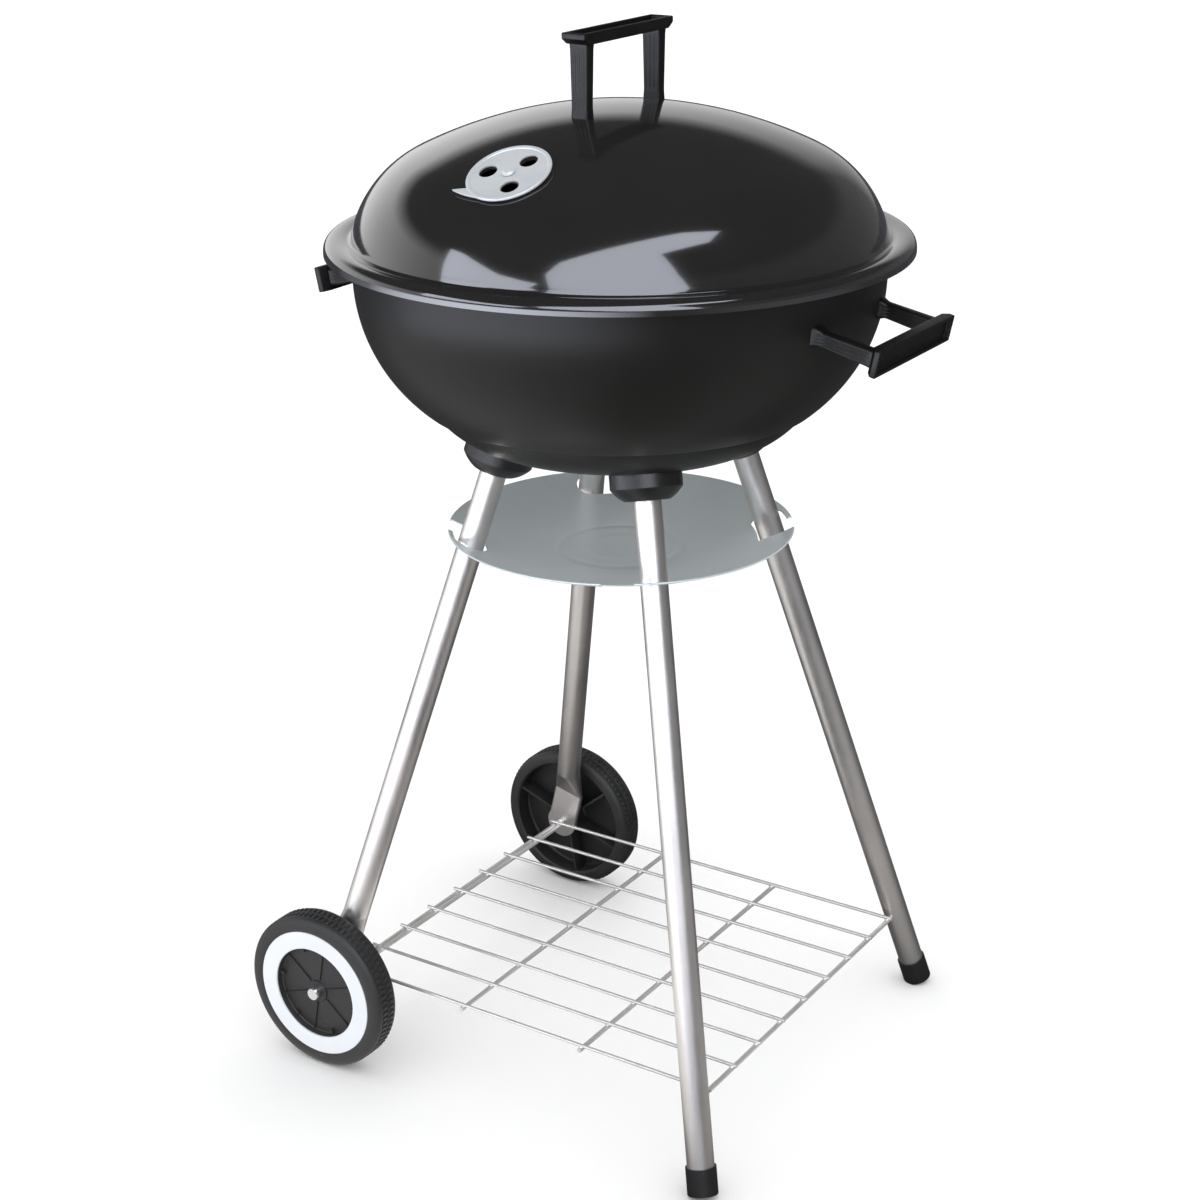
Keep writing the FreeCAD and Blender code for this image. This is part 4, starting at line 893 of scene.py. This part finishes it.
# %% [markdown]
# ## The wheels
# Each wheel is one black moulding: a tyre with a small tread, a recessed disc with ribs on the outside
# and deep spokes on the inside, and a white trim ring pressed into the face. The body and ring are turned
# on the lathe tree. Tread blocks, ribs and spokes are each modelled once and copied round by the polar
# tree, so their number is one input.

# %% One wheel, modelled round its own Z axis
WHEEL_OUTLINE = [(3.1, 0), (9.5, 0), (9.5, 18.0), (11.0, 19.0), (55.5, 19.0), (57.2, 17.4), (57.2, 1.6),
                 (58.6, 0.2), (63.5, 0.0), (66.6, 0.9), (68.3, 2.8), (68.9, 4.4), (68.9, 12.9),
                 (69.3, 13.2), (70.0, 13.4), (70.0, 14.1), (69.3, 14.3), (68.9, 14.6), (68.9, 21.2),
                 (69.6, 21.6), (69.8, 22.6), (69.6, 23.6), (68.6, 25.2), (66.6, 26.5), (63.6, 27.3),
                 (60.5, 27.5), (58.0, 27.2), (57.2, 26.6), (57.2, 26.0), (41.4, 26.0), (41.0, 25.2),
                 (40.6, 21.4), (39.6, 20.6), (12.0, 20.6), (10.0, 21.4), (9.4, 22.9), (3.1, 22.9)]
RING_OUTLINE = [(41.5, 25.9), (57.1, 25.9), (57.1, 27.0), (56.7, 27.4), (55.9, 27.5), (42.6, 27.5),
                (41.9, 27.4), (41.5, 26.9)]
TREAD_COUNT = 84
RIB_COUNT = 6


def frustum(x_low, x_high, half_y, half_z, taper, name):
    """A block that stands along X on a rectangle and narrows a little towards its top."""
    shape = bmesh.new()
    rows = []
    for x, shrink in ((x_low, 1.0), (x_high - 0.25 * (x_high - x_low), taper), (x_high, taper * 0.86)):
        rows.append([shape.verts.new((x, half_y * a * shrink, half_z * b * shrink))
                     for a, b in ((-1, -1), (1, -1), (1, 1), (-1, 1))])
    for low_row, high_row in zip(rows, rows[1:]):
        for number in range(4):
            after = (number + 1) % 4
            shape.faces.new((low_row[number], low_row[after], high_row[after], high_row[number]))
    shape.faces.new(rows[0])
    shape.faces.new(rows[-1])
    return mesh_of(shape, name)


def moved(mesh, vector):
    mesh.transform(Matrix.Translation(vector))
    return mesh


def make_wheel_meshes():
    body = turned(in_metres(WHEEL_OUTLINE), "wheel_body", WHEEL_PLASTIC, 160)
    parts = [body]
    for height, phase in ((8.7, 0.0), (17.9, 180 / TREAD_COUNT)):
        block = moved(frustum(0.0685, 0.06992, 0.0014, 0.0031, 0.9, "tread_block"), (0, 0, height * MM))
        parts.append(round_the_axis(block, TREAD_COUNT, "tread_band", WHEEL_PLASTIC, phase))
    rib = prism([(9.0, -0.6), (41.0, -0.5), (41.0, 0.5), (9.0, 0.6)], 20.3, 21.9, "outer_rib")
    tab = prism([(36.4, -1.1), (40.9, -1.3), (40.9, 1.3), (36.4, 1.1)], 20.3, 23.6, "outer_tab")
    spoke = prism([(9.0, -1.3), (57.6, -1.1), (57.6, 1.1), (9.0, 1.3)], 2.2, 19.4, "inner_spoke")
    for mesh, phase in ((rib, 20.0), (tab, 50.0), (spoke, 20.0)):
        mesh.transform(Matrix.Scale(MM, 4))
        mesh = bevelled(mesh, 0.0003, mesh.name, 2)
        parts.append(round_the_axis(mesh, RIB_COUNT, mesh.name + "_set", WHEEL_PLASTIC, phase))
    ring = turned(in_metres(RING_OUTLINE), "trim_ring", WHEEL_TRIM, 160)
    return joined(parts, "wheel"), ring


wheel_mesh, ring_mesh = make_wheel_meshes()
for side, side_name in ((-1, "front"), (1, "back")):
    low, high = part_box(f"wheel_{side_name}")
    inner_y = high.y if side < 0 else low.y
    axis = side * Y_AXIS
    hub = Vector(((low.x + high.x) / 2, inner_y, (low.z + high.z) / 2))
    place = frame_from(X_AXIS, axis.cross(X_AXIS), axis, hub)
    for source, name, slot, material, node in (
            (wheel_mesh, "tyre_and_hub", "wheel_plastic", WHEEL_PLASTIC, "wheel"),
            (ring_mesh, "trim_ring", "wheel_trim", WHEEL_TRIM, "wheel_ring")):
        mesh = source.copy()
        mesh.transform(place)
        finish_piece(mesh, f"{name}_{side_name}", f"wheel_{side_name}", material,
                     [f"{node}_{side_name}"], 32)

# %% [markdown]
# ## The ash catcher
# A shallow spun dish with a pressed ring round its middle and a thin bead at its rim. The four legs pass
# through slots shaped like keyholes: a way in from the rim, then a short curved run in which the dish
# turns to lock. The dish is turned on the lathe tree; each slot is an outline drawn on the dish's plane
# and cut straight through.

# %% The dish and its slots
DISH_FLOOR = 445.6
DISH_FLAT = 60.0
DISH_RIM = 142.5
DISH_CURVE = 172.55
DISH_TWIST = 13.0
LEG_FOOT = (197.6, 195.6)
LEG_LEAN = (0.24, 0.2295)
SLOT_HEIGHT = 459.6
SLOT_HALF = 12.9


def leg_at(side_x, side_y, height):
    x = side_x * (LEG_FOOT[0] - LEG_LEAN[0] * height)
    y = side_y * (LEG_FOOT[1] - LEG_LEAN[1] * height)
    return Vector((x, y, height))


def pressed(radius):
    """How far the dish's floor is pressed up at a radius."""
    ring_rise = 0.8 * smooth_share(1 - abs(radius - 50.0) / 6.5)
    middle = -0.3 * smooth_share((34.0 - radius) / 9.0)
    return ring_rise + middle


def dish_face(inset, wall_end):
    radii = [DISH_FLAT * step / 60 for step in range(61)]
    flat = [(radius, DISH_FLOOR + inset + pressed(radius)) for radius in radii]
    wall = arc((DISH_FLAT, DISH_FLOOR + DISH_CURVE), DISH_CURVE - inset, -90, wall_end, 36)
    return flat + wall[1:]


dish_bead = arc((DISH_RIM - 0.95, 466.25), 0.95, -130, 140, 12)
dish_outline = dish_face(0.0, -62.21) + dish_bead + dish_face(SHEET, -61.87)[::-1]


def slot_outline(azimuth, reach):
    """A keyhole slot's outline, drawn for a leg on +X and turned to its azimuth."""
    inner = reach - SLOT_HALF
    outer = reach + SLOT_HALF
    points = [(reach + SLOT_HALF * math.cos(math.radians(a)), SLOT_HALF * math.sin(math.radians(a)))
              for a in range(180, -1, -10)]
    near = DISH_TWIST - math.degrees(math.asin(SLOT_HALF / outer))
    leads = [math.radians(-near * step / 4) for step in range(1, 5)]
    points += [(outer * math.cos(angle), outer * math.sin(angle)) for angle in leads]
    back = math.radians(-DISH_TWIST)
    ray = Vector((math.cos(back), math.sin(back)))
    side = Vector((-math.sin(back), math.cos(back)))
    past_rim = DISH_RIM + 12
    for along, offset in ((past_rim, SLOT_HALF), (past_rim, -SLOT_HALF), (inner, -SLOT_HALF), (inner, 0)):
        spot = along * ray + offset * side
        points.append((spot.x, spot.y))
    returns = [back * (1 - step / 5) for step in range(1, 5)]
    points += [(inner * math.cos(angle), inner * math.sin(angle)) for angle in returns]
    turn = Matrix.Rotation(azimuth, 2)
    return [tuple(turn @ Vector(point)) for point in points]


slot_cutters = []
for side_x, side_y in ((1, 1), (-1, 1), (-1, -1), (1, -1)):
    leg = leg_at(side_x, side_y, SLOT_HEIGHT)
    outline = slot_outline(math.atan2(leg.y, leg.x), math.hypot(leg.x, leg.y))
    cutter = prism(outline, 430.0, 490.0, "slot")
    cutter.transform(Matrix.Scale(MM, 4))
    slot_cutters.append(closed_outwards(cutter))
dish_mesh = turned(in_metres(dish_outline), "ash_dish", PAN_ALUMINIUM, 224)
dish_mesh = carved(dish_mesh, slot_cutters, "ash_dish")
finish_piece(dish_mesh, "ash_dish", "ash_catcher", PAN_ALUMINIUM, ["ash_catcher"], 30)

# %% [markdown]
# ## Welds on the shelf
# The shelf is a rack of straight wires spot-welded across four rods, so every crossing has a small
# flattened bead of metal. The wires keep their CAD mesh. The beads are copies of one squashed ball, and
# the tree places them on a grid of crossings: rows on the rods, columns on the wires.

# %% The weld beads
SHELF_WIRES = 9
SHELF_PITCH = 0.0404
SHELF_RODS = (-0.1754, -0.0568, 0.0618, 0.1804)
WELD_HEIGHT = 0.0731


def make_row_tree():
    tree, group_in, group_out = new_tree(
        "row_of_copies",
        [("Count", "Int", 9), ("Step", "Vector", (0, 0.04, 0)), ("Start", "Vector", (0, 0, 0)),
         ("Seed", "Int", 3), ("Spread", "Float", 0.2), ("Material", "Material", None)])
    nodes, links = tree.nodes, tree.links
    line = nodes.new("GeometryNodeMeshLine")
    size = nodes.new("FunctionNodeRandomValue")
    size.inputs[2].default_value = 0.8
    copies = nodes.new("GeometryNodeInstanceOnPoints")
    top = add_math(tree, "ADD", group_in.outputs["Spread"], 1.0)
    links.new(group_in.outputs["Count"], line.inputs["Count"])
    links.new(group_in.outputs["Step"], line.inputs["Offset"])
    links.new(group_in.outputs["Start"], line.inputs["Start Location"])
    links.new(group_in.outputs["Seed"], size.inputs["Seed"])
    links.new(top, size.inputs[3])
    links.new(line.outputs["Mesh"], copies.inputs["Points"])
    links.new(group_in.outputs["Geometry"], copies.inputs["Instance"])
    links.new(size.outputs[1], copies.inputs["Scale"])
    finish_tree(tree, copies.outputs["Instances"], group_in, group_out)
    return tree


ROWS = make_row_tree()


def row_of(mesh, count, start, step_vector, seed, name, material):
    piece = link(name, mesh)
    step = piece.modifiers.new("row", "NODES")
    step.node_group = ROWS
    for label, value in (("Count", count), ("Start", start), ("Step", step_vector), ("Seed", seed),
                         ("Material", material)):
        set_input(step, label, value)
    return evaluated(piece, name)


def weld_bead():
    shape = bmesh.new()
    bmesh.ops.create_icosphere(shape, subdivisions=2, radius=0.0026)
    bmesh.ops.scale(shape, vec=(1.0, 1.15, 0.75), verts=shape.verts)
    return mesh_of(shape, "weld_bead")


weld_rows = []
for seed, rod_x in enumerate(SHELF_RODS):
    first = Vector((rod_x, -SHELF_PITCH * (SHELF_WIRES - 1) / 2, WELD_HEIGHT))
    weld_rows.append(row_of(weld_bead(), SHELF_WIRES, first, Vector((0, SHELF_PITCH, 0)), seed, "weld_row",
                            WIRE_PLATING))
finish_piece(joined(weld_rows, "shelf_welds"), "shelf_welds", "stand", WIRE_PLATING, [])

# %% [markdown]
# ## The fittings that keep their CAD shape
# Legs, sockets, caps, grates, wires and fasteners already have their true form in the frame. Each one
# gets the finish of its own material and nothing else is changed.

# %% Finishes for the CAD nodes
NODE_FINISH = (
    ("foot_leg_front foot_leg_back wheel_leg_front wheel_leg_back leg_plugs", LEG_STEEL),
    ("foot_socket_front foot_socket_back wheel_socket_front wheel_socket_back", SOCKET_PLASTIC),
    ("foot_cap_front foot_cap_back", FOOT_PLASTIC),
    ("shelf axle", WIRE_PLATING),
    ("cooking_grate charcoal_grate grate_brackets", GRATE_STEEL),
    ("lid_damper_rivet floor_damper_rivet", DAMPER_ALUMINIUM),
    ("axle_nuts axle_washers leg_bolts lid_handle_screws side_handle_left_screws side_handle_right_screws",
     FASTENER_STEEL))
for names, material in NODE_FINISH:
    for name in names.split():
        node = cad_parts[name]
        node.data.materials.clear()
        node.data.materials.append(material)
bare = [name for name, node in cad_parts.items()
        if not node.hide_render and not any(name in names.split() for names, _ in NODE_FINISH)]
print("nodes without a finish:", bare)

# %% [markdown]
# ## Floor, light and camera
# The grill stands on a plain white sweep. Glossy enamel and bright tube show the studio as much as
# themselves, so the studio gets two looks: to the camera and to soft light it is white all round, and in
# reflections it is darker, with a pale wall behind, a dark ceiling and a floor that glows with painted
# pools of light on one side and far off. Two panels in front draw the cool shapes near the lid's rim.
# Light Path tells the two looks apart.

# %% The floor
COOL = (0.84, 0.88, 1.0, 1)
floor_material = bpy.data.materials.new("studio_floor")
floor_material.use_nodes = True
floor_tree = floor_material.node_tree
floor_shader = floor_tree.nodes["Principled BSDF"]
floor_shader.inputs["Base Color"].default_value = grey(0.96)
floor_shader.inputs["Roughness"].default_value = 0.9
floor_shader.inputs["Specular IOR Level"].default_value = 0.0
floor_where = floor_tree.nodes.new("ShaderNodeTexCoord").outputs["Object"]
floor_parts = floor_tree.nodes.new("ShaderNodeSeparateXYZ")
floor_tree.links.new(floor_where, floor_parts.inputs[0])
bearing = add_math(floor_tree, "ARCTAN2", floor_parts.outputs["Y"], floor_parts.outputs["X"])


def painted_light_sector(degrees, width, amount):
    """A sector of painted light on the floor, round a bearing from the grill, seen only in reflections."""
    turn = add_math(floor_tree, "SUBTRACT", bearing, math.radians(degrees))
    away = add_math(floor_tree, "COSINE", turn, 0.0)
    return add_range(floor_tree, away, math.cos(math.radians(width)), 1.0, 0.0, amount)


reach = floor_tree.nodes.new("ShaderNodeVectorMath")
reach.operation = "LENGTH"
floor_tree.links.new(floor_where, reach.inputs[0])
# Painted light: in reflections the floor glows though it is no lamp. A wide painted pool of light lies to the
# front left and a weaker one to the right, a bright cool band lies far off to the front, and a faint glow
# covers the rest.
far = add_range(floor_tree, reach.outputs["Value"], 1.7, 2.0, 0.0, 1.0)
painted_pool = add_math(floor_tree, "ADD", painted_light_sector(-125, 66, 0.95), painted_light_sector(5, 40, 0.30))
painted_pool = add_math(floor_tree, "ADD", painted_pool, add_math(floor_tree, "MULTIPLY", far, painted_light_sector(-105, 60, 6.0)))
painted_pool = add_math(floor_tree, "ADD", painted_pool, 0.08)
floor_painted_light = floor_tree.nodes.new("ShaderNodeEmission")
floor_tree.links.new(add_mix(floor_tree, far, (1.0, 1.0, 1.0, 1), COOL), floor_painted_light.inputs["Color"])
floor_tree.links.new(painted_pool, floor_painted_light.inputs["Strength"])
# Light Path shows the plain white floor to the camera and to soft light, and the painted light to glossy
# rays.
floor_path = floor_tree.nodes.new("ShaderNodeLightPath")
floor_mix = floor_tree.nodes.new("ShaderNodeMixShader")
floor_tree.links.new(floor_path.outputs["Is Glossy Ray"], floor_mix.inputs[0])
floor_tree.links.new(floor_shader.outputs[0], floor_mix.inputs[1])
floor_tree.links.new(floor_painted_light.outputs[0], floor_mix.inputs[2])
floor_tree.links.new(floor_mix.outputs[0], floor_tree.nodes["Material Output"].inputs["Surface"])
sweep = bmesh.new()
bmesh.ops.create_grid(sweep, x_segments=4, y_segments=4, size=40.0)
floor = link("studio_floor", mesh_of(sweep, "studio_floor"))
floor.data.materials.append(floor_material)

# %% The light panels
LID_MIDDLE = Vector((0, 0, 0.72))


def window(name, bearings, radiance, away=3.0):
    """A glowing panel, outlined by the (bearing, height) in degrees at which the lid sees each corner."""
    shape = bmesh.new()
    corners = []
    for bearing_deg, height_deg in bearings:
        azimuth, elevation = math.radians(bearing_deg), math.radians(height_deg)
        level_reach = math.cos(elevation)
        direction = Vector((math.cos(azimuth) * level_reach, math.sin(azimuth) * level_reach,
                            math.sin(elevation)))
        corners.append(shape.verts.new(LID_MIDDLE + away * direction))
    middle = shape.verts.new(sum((corner.co for corner in corners), Vector()) / len(corners))
    for number, corner in enumerate(corners):
        shape.faces.new((corner, corners[(number + 1) % len(corners)], middle))
    glow_material = bpy.data.materials.new(name)
    glow_material.use_nodes = True
    glow_tree = glow_material.node_tree
    glow_tree.nodes.remove(glow_tree.nodes["Principled BSDF"])
    emission = glow_tree.nodes.new("ShaderNodeEmission")
    emission.inputs["Color"].default_value = COOL
    emission.inputs["Strength"].default_value = radiance
    glow_tree.links.new(emission.outputs[0], glow_tree.nodes["Material Output"].inputs["Surface"])
    panel_piece = link(name, mesh_of(shape, name))
    panel_piece.data.materials.append(glow_material)
    panel_piece.visible_camera = False
    panel_piece.visible_shadow = False
    panel_piece.visible_diffuse = False


window("left_window", [(-138, 28), (-130, 28), (-109, 20), (-98, 18), (-91, 17), (-96, 9), (-134, 8)], 5.2)
window("front_window", [(-89, 25), (-85, 36), (-72, 46), (-58, 53), (-40, 58), (-16, 60), (5, 54), (-9, 48),
                        (-37, 44), (-33, 25), (-28, 6), (-54, 6), (-86, 14)], 5.0)

# %% The studio walls
world = bpy.data.worlds.new("studio")
bpy.context.scene.world = world
world.use_nodes = True
world_tree = world.node_tree
plain = world_tree.nodes["Background"]
plain.inputs["Color"].default_value = (1.0, 1.0, 1.0, 1)
plain.inputs["Strength"].default_value = 1.2
toward_sky = world_tree.nodes.new("ShaderNodeTexCoord").outputs["Generated"]
sky_parts = world_tree.nodes.new("ShaderNodeSeparateXYZ")
world_tree.links.new(toward_sky, sky_parts.inputs[0])
wall = add_range(world_tree, sky_parts.outputs["Z"], 0.34, 0.46, 1.0, 0.0)
back = math.radians(172)
behind = add_math(world_tree, "ADD",
                  add_math(world_tree, "MULTIPLY", sky_parts.outputs["X"], math.cos(back)),
                  add_math(world_tree, "MULTIPLY", sky_parts.outputs["Y"], math.sin(back)))
behind = add_range(world_tree, behind, 0.2, 0.95, 0.12, 1.35)
seen = add_math(world_tree, "ADD", add_math(world_tree, "MULTIPLY", wall, behind), 0.05)
mirrored = world_tree.nodes.new("ShaderNodeBackground")
world_tree.links.new(seen, mirrored.inputs["Strength"])
sky_path = world_tree.nodes.new("ShaderNodeLightPath")
sky_mix = world_tree.nodes.new("ShaderNodeMixShader")
world_tree.links.new(sky_path.outputs["Is Glossy Ray"], sky_mix.inputs[0])
world_tree.links.new(plain.outputs[0], sky_mix.inputs[1])
world_tree.links.new(mirrored.outputs[0], sky_mix.inputs[2])
world_tree.links.new(sky_mix.outputs[0], world_tree.nodes["World Output"].inputs["Surface"])

# %% The camera
CAMERA_PLACE = Vector((0.9496, -1.5000, 1.0908))
YAW = math.radians(122.91)
PITCH = math.radians(21.29)
ROLL = math.radians(-0.47)
forward = Vector((math.cos(YAW) * math.cos(PITCH), math.sin(YAW) * math.cos(PITCH), -math.sin(PITCH)))
level = Vector((math.sin(YAW), -math.cos(YAW), 0))
upright = level.cross(forward)
camera_x = level * math.cos(ROLL) + upright * math.sin(ROLL)
camera_y = -level * math.sin(ROLL) + upright * math.cos(ROLL)
camera = bpy.data.objects.new("camera", bpy.data.cameras.new("camera"))
bpy.context.scene.collection.objects.link(camera)
camera.matrix_world = frame_from(camera_x, camera_y, -forward, CAMERA_PLACE)
camera.data.lens = 68.5
camera.data.sensor_width = 36.0
bpy.context.scene.camera = camera
bpy.context.scene.view_settings.view_transform = "Standard"
